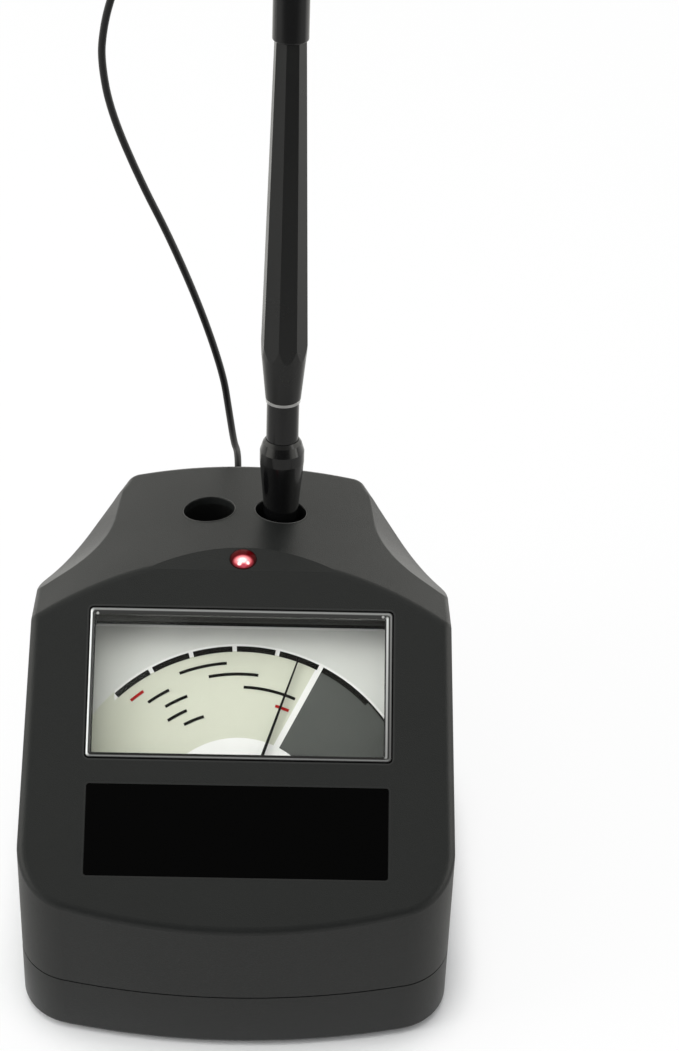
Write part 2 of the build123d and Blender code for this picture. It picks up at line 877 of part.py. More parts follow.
def switch_knob():
    """The sliding knob, stepped on its face for the fingernail, at the left end of its travel."""
    rear = half_depth - wall - rear_part_gap
    stem_rise = switch_stem_height / 2
    knob = block(-knob_width / 2, knob_width / 2, rear - switch_slot_depth + slide_gap, rear + wall / 2,
                 -stem_rise, stem_rise)
    face = half_depth + knob_proud
    knob += block(-knob_width / 2, knob_width / 2, rear + slide_gap, face, -knob_height / 2, knob_height / 2)
    for side in (knob_width / 4, -knob_width / 4):
        knob -= block(side - knob_step / 2, side + knob_step / 2, face - knob_step, face + overrun,
                      -knob_height, knob_height)
    return Pos(switch_x - knob_travel / 2, 0, board_top + switch_height / 2) * knob


def name_panel():
    """The bare strip let into the front of the panel."""
    strip = rounded(plate_width - 2 * slide_gap, plate_height - 2 * slide_gap, plate_corner,
                    -plate_depth, -plate_sink, 0, plate_middle)
    return panel.location * strip


def lens():
    """The clear cover with a bevelled rim, hollow below, on a flange under the panel."""
    width = window_width - 2 * window_gap
    height = window_height - 2 * window_gap
    slab = rounded(width, height, window_corner, -wall - lens_flange_thickness, lens_proud)
    slab = chamfer(slab.edges().group_by(Axis.Z)[-1], lens_bevel)
    flange = rounded(width + 2 * lens_flange_rise, height + 2 * lens_flange_rise, window_corner,
                     -wall - lens_flange_thickness, -wall)
    hollow = rounded(width - 2 * lens_rim, height - 2 * lens_rim, window_corner, -wall - overrun,
                     lens_proud - lens_top)
    return panel.location * Pos(0, window_middle, 0) * (slab + flange - hollow)


def meter_case():
    """The tray behind the window, with the cup for the movement and two screw ears on each side."""
    low = case_floor - case_floor_thickness
    height = case_high - case_low
    middle = (case_high + case_low) / 2
    tray = rounded(2 * case_half_width, height, case_wall, low, case_top, 0, middle)
    tray -= rounded(2 * (case_half_width - case_wall), height - 2 * case_wall, window_corner, case_floor,
                    case_top + overrun, 0, middle)
    cup_radius = ring_outer + fit_gap + cup_wall
    cup_bottom = cup_floor - case_wall
    body = tray + rod(cup_radius, cup_bottom, low + case_wall / 2, 0, pivot_height)
    for side in (1, -1):
        for up in (ear_low, ear_high):
            ear = rod(ear_radius, ear_top - ear_thickness, ear_top, side * ear_x, up)
            inner_x = case_half_width - case_wall / 2
            arm = block(min(side * inner_x, side * ear_x), max(side * inner_x, side * ear_x),
                        up - ear_radius, up + ear_radius, ear_top - ear_thickness, ear_top)
            body += ear + arm
            body -= rod(board_screw_radius + fit_gap, ear_top - overrun, ear_top + overrun, side * ear_x, up)
    pad_top = -dial_depth - dial_thickness
    pad_x = case_half_width - case_wall - dial_pad / 2
    for side in (pad_x, -pad_x):
        for up in (case_low + case_wall + dial_pad / 2, case_high - case_wall - dial_pad / 2):
            body += block(side - dial_pad / 2, side + dial_pad / 2, up - dial_pad / 2, up + dial_pad / 2,
                          case_floor - case_floor_thickness / 2, pad_top)
    body -= rod(ring_outer + fit_gap, ring_bottom, case_floor + case_floor_thickness / 2, 0, pivot_height)
    body -= rod(cup_ledge_radius, cup_floor, ring_bottom + fit_gap, 0, pivot_height)
    body -= rod(bearing_radius + fit_gap, cup_floor - overrun, cup_floor + fit_gap, 0, pivot_height)
    return panel.location * body


def meter_screws():
    """Four small screws through the ears of the meter case into the upper shell."""
    length = case_floor_thickness + ear_thickness + board_screw_radius
    piece = screw(board_screw_head_radius, board_screw_head_height, board_screw_radius, length,
                  screw_slot_width, screw_slot_depth / 2)
    piece = Pos(0, 0, ear_top - ear_thickness) * Rot(180, 0, 0) * piece
    places = mirrored(ear_x, ear_low) + mirrored(ear_x, ear_high)
    return Compound([panel.location * Pos(x, up, 0) * piece for x, up in places])


def dial_plate():
    """The dial with the hole for the needle's staff and a stop pin at each end of the swing."""
    half = case_half_width - case_wall - dial_gap
    low = case_low + case_wall + dial_gap
    high = case_high - case_wall - dial_gap
    back = -dial_depth - dial_thickness
    plate = rounded(2 * half, high - low, window_corner, back, -dial_depth, 0, (low + high) / 2)
    plate -= rod(pivot_hole_radius, -dial_depth - overrun, 0, 0, pivot_height)
    for angle in (needle_high_angle + stop_margin, needle_low_angle - stop_margin):
        x = stop_radius * math.cos(math.radians(angle))
        y = pivot_height + stop_radius * math.sin(math.radians(angle))
        plate += rod(stop_pin_radius, back, stop_pin_top, x, y)
    return panel.location * plate


def movement(shape):
    """Place a piece of the movement, drawn about the needle's axis with the needle along X."""
    return panel.location * Pos(0, pivot_height, 0) * shape


def needle():
    """The pointer: a tapering blade with a round hub and a counterweight on its tail."""
    blade = Polyline((-needle_tail, -needle_root_half), (-needle_tail, needle_root_half),
                     (0, needle_root_half), (needle_length, needle_tip_half),
                     (needle_length, -needle_tip_half), (0, -needle_root_half), close=True)
    low = needle_height - needle_thickness
    body = Pos(0, 0, low) * extrude(make_face(blade), needle_thickness)
    body += rod(needle_hub_radius, low, needle_height)
    body += rod(needle_weight_radius, low, needle_height, -needle_tail)
    body -= rod(staff_radius, low - overrun, needle_height + overrun)
    return movement(Rot(0, 0, needle_angle) * body)


def needle_staff():
    """The thin staff that carries needle and coil, between its two bearings."""
    return movement(rod(staff_radius, staff_bottom, staff_top))


def moving_coil():
    """The rectangular coil round the fixed core, fixed to the staff at both ends."""
    top = ring_top + coil_end_gap + coil_end
    bottom = ring_bottom - coil_end_gap - coil_end
    outer = block(-coil_outer, coil_outer, -coil_width / 2, coil_width / 2, bottom, top)
    hollow = block(-coil_inner, coil_inner, -coil_width, coil_width, bottom + coil_end, top - coil_end)
    coil = outer - hollow - rod(staff_radius, bottom - overrun, top + overrun)
    return movement(Rot(0, 0, needle_angle + 90) * coil)


def magnet_ring():
    """The magnet ring in the cup of the meter case."""
    ring = rod(ring_outer, ring_bottom, ring_top)
    ring -= rod(ring_inner, ring_bottom - overrun, ring_top + overrun)
    for side in (bridge_post_place, -bridge_post_place):
        ring += rod(bridge_post_radius, ring_top, case_floor - coil_end_gap, side)
    return movement(ring)


def field_core():
    """The soft-iron core inside the coil, on two webs that reach the magnet ring."""
    core = rod(core_radius, ring_bottom, ring_top)
    web_reach = ring_inner + core_web
    core += block(-core_web / 2, core_web / 2, -web_reach, web_reach, ring_bottom, ring_top)
    core &= rod(ring_inner - core_reach_gap, ring_bottom, ring_top)
    core -= rod(core_bore, ring_bottom - overrun, ring_top + overrun)
    return movement(core)


def movement_bridge():
    """The bar across the top of the movement, with the upper bearing hole."""
    low = case_floor - coil_end_gap
    high = low + bridge_thickness
    bar = block(-bridge_length / 2, bridge_length / 2, -bridge_width / 2, bridge_width / 2, low, high)
    bar = fillet(bar.edges().filter_by(Axis.Z), bridge_width / 3)
    bar -= rod(staff_radius + bearing_gap, low - overrun, high + overrun)
    return movement(bar)


def lower_bearing():
    """The jewel screw in the floor of the cup, with a blind hole for the foot of the staff."""
    jewel = rod(bearing_radius, cup_floor - case_wall, staff_bottom + bearing_bite)
    jewel -= rod(staff_radius + bearing_gap, staff_bottom - fit_gap, staff_bottom + bearing_bite + overrun)
    return movement(jewel)


def hairspring():
    """The flat spiral spring on the staff: half turns of growing radius, from the staff outwards."""
    arcs = []
    start = Vector(spring_inner, 0)
    side = -1
    radius = spring_inner
    for _ in range(2 * spring_turns):
        radius += spring_pitch / 4
        end = start + Vector(2 * radius * side, 0)
        middle = (start + end) / 2 + Vector(0, -radius * side)
        arcs.append(ThreePointArc(start, middle, end))
        start = end
        side = -side
    strip = trace(Curve() + arcs, spring_strip)
    height = ring_bottom - coil_end_gap - coil_end - spring_height - fit_gap
    return movement(Pos(0, 0, height) * extrude(strip, spring_height))


def well_block(inner):
    """The moulding under the deck: two cups joined by a web, with their floors cut for the test discs."""
    cup_bottom = -well_depth - well_floor
    body = block(-web_half_length, web_half_length, -web_half_width, web_half_width,
                 web_top, web_top + web_thickness)
    body = fillet(body.edges().filter_by(Axis.Z), web_half_width / 2)
    for back in (well_screw_offset, -well_screw_offset):
        body += rod(well_boss_radius, web_top, web_top + web_thickness, 0, back)
        body += block(-well_boss_radius, well_boss_radius, min(0, back), max(0, back), web_top,
                      web_top + web_thickness)
    for side in (well_x, -well_x):
        body += rod(well_radius + well_wall, cup_bottom, overrun, side)
    for side in (well_x, -well_x):
        body -= rod(well_radius, -well_depth, 2 * overrun, side)
        body -= rod(disc_radius + fit_gap, -well_depth - disc_sink, 0, side)
    for back in (well_screw_offset, -well_screw_offset):
        body -= rod(well_screw_radius + fit_gap, web_top - overrun, overrun, 0, back)
    return (wells.location * body) & inner


def well_screws():
    """Two screws that hold the well moulding up against the deck."""
    length = web_thickness - web_top / 2 - wall / 2
    piece = screw(well_screw_head_radius, well_screw_head_height, well_screw_radius, length,
                  screw_slot_width, screw_slot_depth / 2)
    piece = Pos(0, 0, web_top) * Rot(180, 0, 0) * piece
    places = (well_screw_offset, -well_screw_offset)
    return Compound([wells.location * Pos(0, back, 0) * piece for back in places])


def test_disc(side):
    """A test disc let into the floor of one well."""
    low = -well_depth - disc_sink
    disc = rod(disc_radius, low, low + disc_thickness)
    disc = chamfer(disc.edges().group_by(Axis.Z)[-1], disc_edge)
    return wells.location * Pos(side, 0, 0) * disc


def ready_light():
    """The light: a flat dome on a round body with a flange below the wall, and two leads."""
    body = rod(light_radius, -light_body, 0)
    flange_top = -wall - light_flange_gap
    body += rod(light_flange_radius, flange_top - light_flange, flange_top)
    ball_radius = (light_radius ** 2 + light_dome ** 2) / (2 * light_dome)
    dome = Pos(0, 0, light_dome - ball_radius) * Sphere(ball_radius)
    body += dome & rod(light_radius, 0, light_dome)
    half = lead_thickness / 2
    for side in (lead_offset, -lead_offset):
        body += block(side - half, side + half, -half, half,
                      -light_body - lead_length, -light_body + lead_thickness)
    return light.location * body


def light_holder():
    """The collar that is pressed over the light's body from below."""
    top = -wall - light_flange_gap - light_flange
    collar = rod(holder_radius, top - holder_thickness, top)
    return light.location * (collar - rod(light_radius + cord_hole_gap, -light_body, 0))


def wire(points, bend, radius):
    """A round wire or cord along straight runs joined by arcs of one radius or a list of radii."""
    path = FilletPolyline(*points, radius=bend)
    start = Plane(origin=path @ 0, z_dir=path % 0)
    return sweep(start * Circle(radius), path)


def light_wires():
    """The pair of wires from the light down to the board."""
    wires = []
    for side in (lead_offset, -lead_offset):
        start = light.origin + light.x_dir * side - light.z_dir * (light_body + lead_length)
        knee = start - light.z_dir * wire_lead
        wires.append(wire([start, knee, Vector(knee.X, knee.Y, board_top)], wire_bend, wire_radius))
    return Compound(wires)


def meter_wires():
    """The pair of wires from the back of the movement down to the board."""
    wires = []
    back = panel.origin + panel.y_dir * pivot_height + panel.z_dir * (cup_floor - case_wall)
    for side in (meter_wire_x, -meter_wire_x):
        start = back + panel.x_dir * side
        knee = start - panel.z_dir * wire_lead
        wires.append(wire([start, knee, Vector(knee.X, knee.Y, board_top)], wire_bend, wire_radius))
    return Compound(wires)


def tapered_boot(root_radius, end_radius, length, ribs, rib_width, rib_depth, bare_share):
    """A tapering rubber sleeve on the XY plane, with grooves cut round it in even steps."""
    sleeve = turned(((0, root_radius), (length, end_radius)))
    step = length * (1 - bare_share) / (ribs + 1)
    for index in range(ribs):
        height = length * bare_share / 2 + (index + 1) * step
        radius = root_radius + (end_radius - root_radius) * height / length
        groove_ring = rod(root_radius + overrun, height - rib_width / 2, height + rib_width / 2)
        groove_ring -= rod(radius - rib_depth, height - rib_width, height + rib_width)
        sleeve -= groove_ring
    return sleeve


def cord_gland():
    """The strain relief: a ribbed tapering sleeve outside, a collar on the wall and a flange inside."""
    body = tapered_boot(gland_root_radius, gland_end_radius, gland_length, gland_ribs, gland_rib_width,
                        gland_rib_depth, gland_bare_share)
    collar = rod(gland_collar_radius, 0, gland_collar_thickness)
    body += fillet(collar.edges().group_by(Axis.Z)[-1], gland_collar_thickness / 3)
    body += rod(gland_hole_radius, -wall, 0)
    body += rod(gland_inner_radius, -wall - gland_inner_thickness, -wall)
    return Pos(gland_x, half_depth, gland_height) * Rot(-90, 0, 0) * body


def inner_cord():
    """The stretch of the cord inside the housing, from the strain relief down to the board."""
    start = Vector(gland_x, half_depth - wall - gland_inner_thickness, gland_height)
    knee = Vector(gland_x, inner_cord_bend_y, gland_height)
    return wire([start, knee, Vector(gland_x, inner_cord_bend_y, board_top)], inner_cord_bend, cord_radius)


def cord_route():
    """All points of the free cord, straight out of the strain relief and straight into the probe's tail."""
    start = Vector(gland_x, half_depth + gland_length, gland_height)
    tail = probe_origin + probe_axis * tail_top
    route = [start, start + Vector(0, cord_start_lead, 0)]
    route += [Vector(*point) for point in cord_points]
    route += [tail + probe_axis * cord_end_lead, tail]
    return route


def cord_bends(route):
    """The radius at each corner of the route, from the shorter of the two runs that meet there.

    It is the run's length times the bend share, over the tangent of half the turn.
    """
    bends = []
    for before, corner, after in zip(route, route[1:], route[2:]):
        arrive = corner - before
        leave = after - corner
        turn = math.radians(arrive.get_angle(leave))
        bends.append(cord_bend_share * min(arrive.length, leave.length) / math.tan(turn / 2))
    return bends


def probe_cord():
    """The free cord between the strain relief and the probe's tail."""
    route = cord_route()
    return wire(route, cord_bends(route), cord_radius)


def probe(shape):
    """Place a piece of the probe, drawn along Z from the mouth of the well."""
    return Plane(origin=probe_origin, x_dir=wells.x_dir, z_dir=wells.z_dir).location * shape


def probe_nose():
    """The nose: a cone with a round shoulder, bored for the plunger and the tip."""
    body = turned(nose_profile)
    body -= rod(nose_bore, nose_bore_bottom, nose_top + overrun)
    body -= rod(tip_radius + tip_hole_gap, nose_profile[0][0] - overrun, nose_top)
    return probe(body)


def probe_neck():
    """The neck between nose and barrel, with a spigot down into the nose."""
    body = rod(neck_radius, nose_top, neck_top) + rod(nose_bore - fit_gap, neck_spigot_bottom, nose_top)
    return probe(body - rod(neck_bore, neck_spigot_bottom - overrun, neck_top + overrun))


def neck_ring():
    """The bright metal ring below the barrel."""
    ring = rod(ring_radius, neck_top, neck_top + ring_length)
    ring = chamfer(ring.edges(), ring_length / 6)
    return probe(ring - rod(barrel_bore, neck_top - overrun, neck_top + overrun))


def probe_barrel():
    """The barrel: eight tapering flats, cut to a cone at the lower end, so that each flat ends in an arc."""
    turn = 360 / barrel_sides / 2 + barrel_turn
    low = RegularPolygon(barrel_corner_radius, barrel_sides, rotation=turn)
    high = RegularPolygon(barrel_end_radius, barrel_sides, rotation=turn)
    flats = loft([Pos(0, 0, barrel_bottom) * low, Pos(0, 0, barrel_top) * high], ruled=True)
    growth = (barrel_cone_radius - barrel_low_radius) / (barrel_cone_height - barrel_bottom)
    cone_top = 2 * barrel_cone_height
    cone = turned(((barrel_bottom, barrel_low_radius),
                   (cone_top, barrel_low_radius + growth * (cone_top - barrel_bottom)),
                   (barrel_top, barrel_low_radius + growth * (cone_top - barrel_bottom))))
    return probe((flats & cone) - rod(barrel_bore, barrel_bottom - overrun, barrel_top + overrun))


def probe_sleeve():
    """The round sleeve over the upper end of the barrel, narrowed inside for the tail."""
    sleeve = rod(sleeve_radius, sleeve_bottom, sleeve_top)
    sleeve = fillet(sleeve.edges(), sleeve_edge)
    sleeve -= rod(barrel_end_radius + fit_gap, sleeve_bottom - overrun, barrel_top + fit_gap)
    sleeve -= rod(barrel_bore, sleeve_bottom - overrun, sleeve_top + overrun)
    return probe(sleeve)


def tail_boot():
    """The cord's boot on the upper end of the probe, plugged into the sleeve."""
    body = tapered_boot(tail_radius, tail_end_radius, tail_length, tail_ribs, tail_rib_width, tail_rib_depth,
                        gland_bare_share)
    body += rod(barrel_bore - fit_gap, -tail_plug_length, 0)
    return probe(Pos(0, 0, sleeve_top) * body)


def probe_strip():
    """The narrow circuit strip inside the barrel."""
    return probe(block(-strip_half_width, strip_half_width, -strip_thickness / 2, strip_thickness / 2,
                       strip_bottom, strip_top))


def probe_tip():
    """The metal tip: a thin rod with a blunt point, from just above the test disc into the plunger."""
    point = tip_bottom + tip_point_length
    return probe(turned(((tip_bottom, tip_point_radius), (point, tip_radius), (tip_top, tip_radius))))


def tip_plunger():
    """The plunger that carries the tip and slides in the nose."""
    body = rod(plunger_radius, plunger_bottom, plunger_top)
    return probe(body - rod(tip_radius, plunger_bottom - overrun, plunger_top + overrun))


def tip_spring():
    """The coil spring between the plunger and the spigot of the neck."""
    length = neck_spigot_bottom - plunger_top - 2 * coil_spring_wire
    helix = Helix(pitch=length / coil_spring_turns, height=length, radius=coil_spring_radius)
    wire_face = Plane(origin=helix @ 0, z_dir=helix % 0) * Circle(coil_spring_wire)
    spring = sweep(wire_face, helix, is_frenet=True)
    return probe(Pos(0, 0, plunger_top + coil_spring_wire) * spring)


def write(name, shape):
    """Write one piece, moved forward so that the whole part stands over the origin."""
    export_step(Pos(0, -standing_setback, 0) * shape, f"parts/{name}.step")


os.makedirs("parts", exist_ok=True)
outer_form = rounded_form()
inner_form = form(wall)
root_form = form(wall / 2)

write("top_cover", top_cover(outer_form, inner_form, root_form))
write("bottom_cover", bottom_cover(outer_form, inner_form))
write("rubber_feet", rubber_feet())
write("case_screws", case_screws())
write("battery_cells", battery_cells())
write("battery_contacts", battery_contacts())
write("battery_door", battery_door(outer_form))
write("circuit_board", circuit_board())
write("board_screws", board_screws())
write("board_chips", board_chips())
write("board_capacitors", board_capacitors())
write("supply_relay", supply_relay())
write("setting_trimmer", setting_trimmer())
write("power_socket", power_socket())
write("switch_body", switch_body())
write("switch_knob", switch_knob())
write("name_panel", name_panel())
write("lens", lens())
write("meter_case", meter_case())
write("meter_screws", meter_screws())
write("dial_plate", dial_plate())
write("needle", needle())
write("needle_staff", needle_staff())
write("moving_coil", moving_coil())
write("magnet_ring", magnet_ring())
write("field_core", field_core())
write("movement_bridge", movement_bridge())
write("lower_bearing", lower_bearing())
write("hairspring", hairspring())
write("well_block", well_block(inner_form))
write("well_screws", well_screws())
write("metal_disc", test_disc(well_x))
write("glass_disc", test_disc(-well_x))
write("ready_light", ready_light())
write("light_holder", light_holder())
write("light_wires", light_wires())
write("meter_wires", meter_wires())
write("cord_gland", cord_gland())
write("inner_cord", inner_cord())
write("probe_cord", probe_cord())
write("probe_nose", probe_nose())
write("probe_neck", probe_neck())
write("neck_ring", neck_ring())
write("probe_barrel", probe_barrel())
write("probe_sleeve", probe_sleeve())
write("tail_boot", tail_boot())
write("probe_strip", probe_strip())
write("probe_tip", probe_tip())
write("tip_plunger", tip_plunger())
write("tip_spring", tip_spring())
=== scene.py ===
"""Looks of a desk gem tester: finishes, clear window, printed dial, ready light, probe and cord.

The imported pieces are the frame. They keep their place, and get their finish here. New pieces are
surfaces worked out with numpy in the frame's own metres. X is to the right, Y to the back, Z up.
"""

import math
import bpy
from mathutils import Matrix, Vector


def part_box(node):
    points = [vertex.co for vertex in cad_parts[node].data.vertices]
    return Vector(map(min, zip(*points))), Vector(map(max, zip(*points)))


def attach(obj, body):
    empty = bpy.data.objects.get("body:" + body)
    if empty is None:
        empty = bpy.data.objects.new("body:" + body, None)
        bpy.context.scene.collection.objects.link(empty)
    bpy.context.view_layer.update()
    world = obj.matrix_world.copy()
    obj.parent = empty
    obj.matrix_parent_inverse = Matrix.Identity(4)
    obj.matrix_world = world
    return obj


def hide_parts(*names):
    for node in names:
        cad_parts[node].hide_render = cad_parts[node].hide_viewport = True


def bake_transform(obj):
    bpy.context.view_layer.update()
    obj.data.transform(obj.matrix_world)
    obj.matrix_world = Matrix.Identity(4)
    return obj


bl_info = {
    "name": "Gem tester looks",
    "version": (1, 0, 0),
    "blender": (4, 5, 0),
    "location": "View3D > Sidebar > Tester",
    "description": "Builds the looks of a desk gem tester around its packed pieces",
    "category": "Object",
}

import bmesh
import bpy
import numpy as np
from bpy.props import FloatProperty, FloatVectorProperty, PointerProperty
from mathutils import Matrix, Vector

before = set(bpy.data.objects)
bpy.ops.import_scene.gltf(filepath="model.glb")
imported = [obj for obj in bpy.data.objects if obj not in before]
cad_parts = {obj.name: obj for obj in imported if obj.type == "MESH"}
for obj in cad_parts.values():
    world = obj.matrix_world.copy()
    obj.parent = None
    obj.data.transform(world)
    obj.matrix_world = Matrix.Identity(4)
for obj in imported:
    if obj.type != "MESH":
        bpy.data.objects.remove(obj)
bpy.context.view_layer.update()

MM = 0.001

# The meter panel's slope and the wells' lean, the height of the panel's front edge, and its axes.
PANEL_TILT = math.radians(32.0)
WELL_TILT = math.radians(12.66)
FRONT_HEIGHT = 45.5 * MM
rightward = np.array([1.0, 0.0, 0.0])
panel_origin = np.array([0.0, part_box("top_cover")[0].y, FRONT_HEIGHT])
panel_out = np.array([0.0, -math.sin(PANEL_TILT), math.cos(PANEL_TILT)])
panel_up = np.array([0.0, math.cos(PANEL_TILT), math.sin(PANEL_TILT)])
probe_axis = np.array([0.0, math.sin(WELL_TILT), math.cos(WELL_TILT)])

# Heights on the probe's axis: from the middle of its plunger to the well's mouth, and the tail's end.
PLUNGER_MIDDLE = 2.95 * MM
PROBE_TAIL = 174.0 * MM

# The crowned deck: its radius, and the point between the two wells on its middle line.
DECK_RADIUS = 125.0 * MM
wells_middle = np.array([0.0, 33.7, 92.02]) * MM


def box_middle(node):
    """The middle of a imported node's box."""
    low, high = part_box(node)
    return np.array((low + high) / 2)


def on_probe(height):
    """The point of the probe's axis at a height above the mouth of its well."""
    return box_middle("tip_plunger") + (height + PLUNGER_MIDDLE) * probe_axis


def on_panel(across, upward, outward):
    """Points of the sloping meter panel: across it, up it from its front edge, and out from it."""
    across, upward, outward = np.broadcast_arrays(across, upward, outward)
    places = across[..., None] * rightward
    return panel_origin + places + upward[..., None] * panel_up + outward[..., None] * panel_out


def lifted(line, level):
    """Points of the panel over a line of (across, upward) points, at a level or at one for each point."""
    return on_panel(line[:, 0], line[:, 1], level)


def colour_setting(name, description, value):
    """A colour that a user may change."""
    return FloatVectorProperty(name=name, description=description, subtype="COLOR", default=value,
                               min=0.0, max=1.0)


def number_setting(name, description, value, **kind):
    """A number that a user may change."""
    return FloatProperty(name=name, description=description, default=value, **kind)


def length_setting(name, description, value, **limits):
    """A length that a user may change."""
    return number_setting(name, description, value, unit="LENGTH", **limits)


def group_setting(kind, name, description):
    """A group of settings inside another."""
    return PointerProperty(type=kind, name=name, description=description)


class TesterFinishes(bpy.types.PropertyGroup):
    """Colours and surface numbers of the visible plastics and paints."""

    housing: colour_setting("Housing", "Colour of the moulded covers", (0.0127, 0.0136, 0.0132))
    name_panel: colour_setting("Name panel", "Colour of the strip under the window", (0.0012, 0.0012, 0.0012))
    # Painted highlight: lighter than the housing, for the light caught by the thin raised edge round the
    # window's opening.
    edge: colour_setting("Edges", "Colour of the thin edges round the openings", (0.02, 0.021, 0.0205))
    probe: colour_setting("Probe", "Colour of the probe's polished mouldings", (0.004, 0.004, 0.0042))
    barrel: colour_setting("Barrel", "Colour of the probe's satin barrel", (0.007, 0.0072, 0.007))
    grain_size: length_setting("Grain size", "Size of the moulded grain on the covers", 0.36 * MM,
                               min=0.05 * MM, max=2.0 * MM)
    grain_depth: length_setting("Grain depth", "Height of the moulded grain on the covers", 0.08 * MM,
                                min=0.0, max=0.2 * MM)


class TesterDial(bpy.types.PropertyGroup):
    """Sizes and inks of the printed dial, measured from the needle's pivot."""

    pivot_height: length_setting("Pivot height", "The pivot's distance up the panel from its front edge",
                                 29.75 * MM)
    depth: length_setting("Dial depth", "How far the dial's face lies below the panel", 10.0 * MM)
    film: length_setting("Ink thickness", "Thickness of one printed layer", 0.02 * MM)
    arc_radius: length_setting("Scale radius", "Radius of the middle of the scale's thick line", 46.4 * MM)
    arc_width: length_setting("Scale line", "Width of the scale's thick line", 1.5 * MM)
    outline_width: length_setting("White outline", "Width of the white line round the scale", 0.6 * MM)
    rule_width: length_setting("Rule width", "Width of the short rules under the scale", 0.78 * MM)
    hub_radius: length_setting("Hub radius", "Radius of the white circle round the pivot", 22.6 * MM)
    sector_edge: number_setting("Sector edge", "Where the dark sector starts", math.radians(62.6),
                                unit="ROTATION")
    scale_start: number_setting("Scale start", "Where the scale's line starts on the left",
                                math.radians(134.2), unit="ROTATION")
    paper: colour_setting("Paper", "Colour of the dial above the scale", (0.68, 0.69, 0.665))
    # Also the colour of the painted highlight line along the dial's top edge.
    white_and_highlight: colour_setting("White", "Colour of the outline, the stripe and the hub", (0.84, 0.84, 0.83))
    field: colour_setting("Field", "Warm colour under the scale", (0.62, 0.635, 0.535))
    ink: colour_setting("Black ink", "Colour of the scale and rules", (0.006, 0.006, 0.005))
    red_ink: colour_setting("Red ink", "Colour of the two red rules", (0.36, 0.012, 0.012))
    sector: colour_setting("Sector", "Colour of the dark sector", (0.09, 0.095, 0.09))


class TesterWindow(bpy.types.PropertyGroup):
    """Sizes of the clear cover in the panel, and the painted shade and painted highlight colours of its
    moulded edge.
    """

    bottom: length_setting("Bottom", "The cover's lower edge, up the panel from its front", 44.45 * MM)
    top: length_setting("Top", "The cover's upper edge, up the panel from its front", 84.35 * MM)
    half_width: length_setting("Half width", "Half the clear cover's width", 39.4 * MM)
    corner: length_setting("Corner", "Radius of the clear cover's corners", 1.0 * MM)
    # The moulded edge's two colours: painted shade, and painted highlight for the bright lines that its clear
    # edge shows.
    edge_painted_shade: colour_setting("Edge shade", "Dark colour in the cover's moulded edge", (0.008, 0.008, 0.008))
    edge_painted_highlight: colour_setting("Edge shine", "Bright colour in the cover's moulded edge", (0.8, 0.81, 0.79))


class TesterStage(bpy.types.PropertyGroup):
    """Camera and light."""

    lens: number_setting("Lens", "Focal length on a 36 mm frame", 102.76, unit="CAMERA")
    key_strength: number_setting("Key light", "Power of the large soft lamp above", 5.0, unit="POWER")
    side_strength: number_setting("Side light", "Power of the soft lamp on the left", 4.0, unit="POWER")
    world_strength: number_setting("Room light", "Strength of the even light from all round", 0.65)
    low_white: number_setting("Low white", "Mirrored strength of the room near its floor", 0.68)
    high_white: number_setting("High white", "Mirrored strength of the room overhead", 0.4)
    front_white: number_setting("Front white", "Mirrored strength of the room on the viewer's side", 0.1)
    side_white: number_setting("Side white", "Strength added to the mirrored room at both sides", 0.9)
    floor_white: number_setting("Floor white", "Mirrored strength of the floor round the tester", 0.48)
    rear_white: number_setting("Rear white", "Strength added to the mirrored floor behind the tester", 0.6)
    white_share: number_setting("White share", "How much of the seen floor is plain white", 0.9,
                                subtype="FACTOR")
    contact: length_setting("Contact reach", "How far from the floor a piece darkens it", 15.0 * MM)
    floor: colour_setting("Floor", "Colour of the floor", (0.9, 0.9, 0.9))


class TesterSettings(bpy.types.PropertyGroup):
    """All the settings of the tester's looks."""

    finishes: group_setting(TesterFinishes, "Finishes", "Plastics and paints")
    dial: group_setting(TesterDial, "Dial", "The printed dial")
    window: group_setting(TesterWindow, "Window", "The clear cover")
    stage: group_setting(TesterStage, "Stage", "Camera and light")


def settings():
    """The settings that the scene holds."""
    return bpy.context.scene.tester


# Meshes

WELD_DISTANCE = 1e-7
SLIVER_LENGTH = 1e-8


def grid_faces(rows, columns, wrap_rows=False, wrap_columns=False):
    """The four-sided faces between neighbouring points of a grid, as an array of point numbers."""
    index = np.arange(rows * columns).reshape(rows, columns)
    if wrap_rows:
        index = np.vstack([index, index[:1]])
    if wrap_columns:
        index = np.hstack([index, index[:, :1]])
    corners = [index[:-1, :-1], index[:-1, 1:], index[1:, 1:], index[1:, :-1]]
    return np.stack(corners, -1).reshape(-1, 4)


def make_object(name, points, faces, smooth_angle=35.0, painted_shine=None):
    """An object from arrays of points and faces, welded, facing outwards, smooth below an angle.

    Painted shine is a number for each point, kept with the mesh, that a finish may read as painted highlight
    and painted shade in its colour.
    """
    mesh = bpy.data.meshes.new(name)
    mesh.from_pydata(points.reshape(-1, 3).tolist(), [], [list(face) for face in faces])
    if painted_shine is not None:
        kept = mesh.attributes.new("painted_shine", "FLOAT", "POINT")
        kept.data.foreach_set("value", np.asarray(painted_shine, float).ravel())
    shape = bmesh.new()
    shape.from_mesh(mesh)
    bmesh.ops.remove_doubles(shape, verts=shape.verts, dist=WELD_DISTANCE)
    bmesh.ops.dissolve_degenerate(shape, edges=shape.edges, dist=SLIVER_LENGTH)
    bmesh.ops.recalc_face_normals(shape, faces=shape.faces)
    shape.to_mesh(mesh)
    shape.free()
    mesh.shade_smooth()
    mesh.set_sharp_from_angle(angle=math.radians(smooth_angle))
    piece = bpy.data.objects.new(name, mesh)
    bpy.context.scene.collection.objects.link(piece)
    return piece


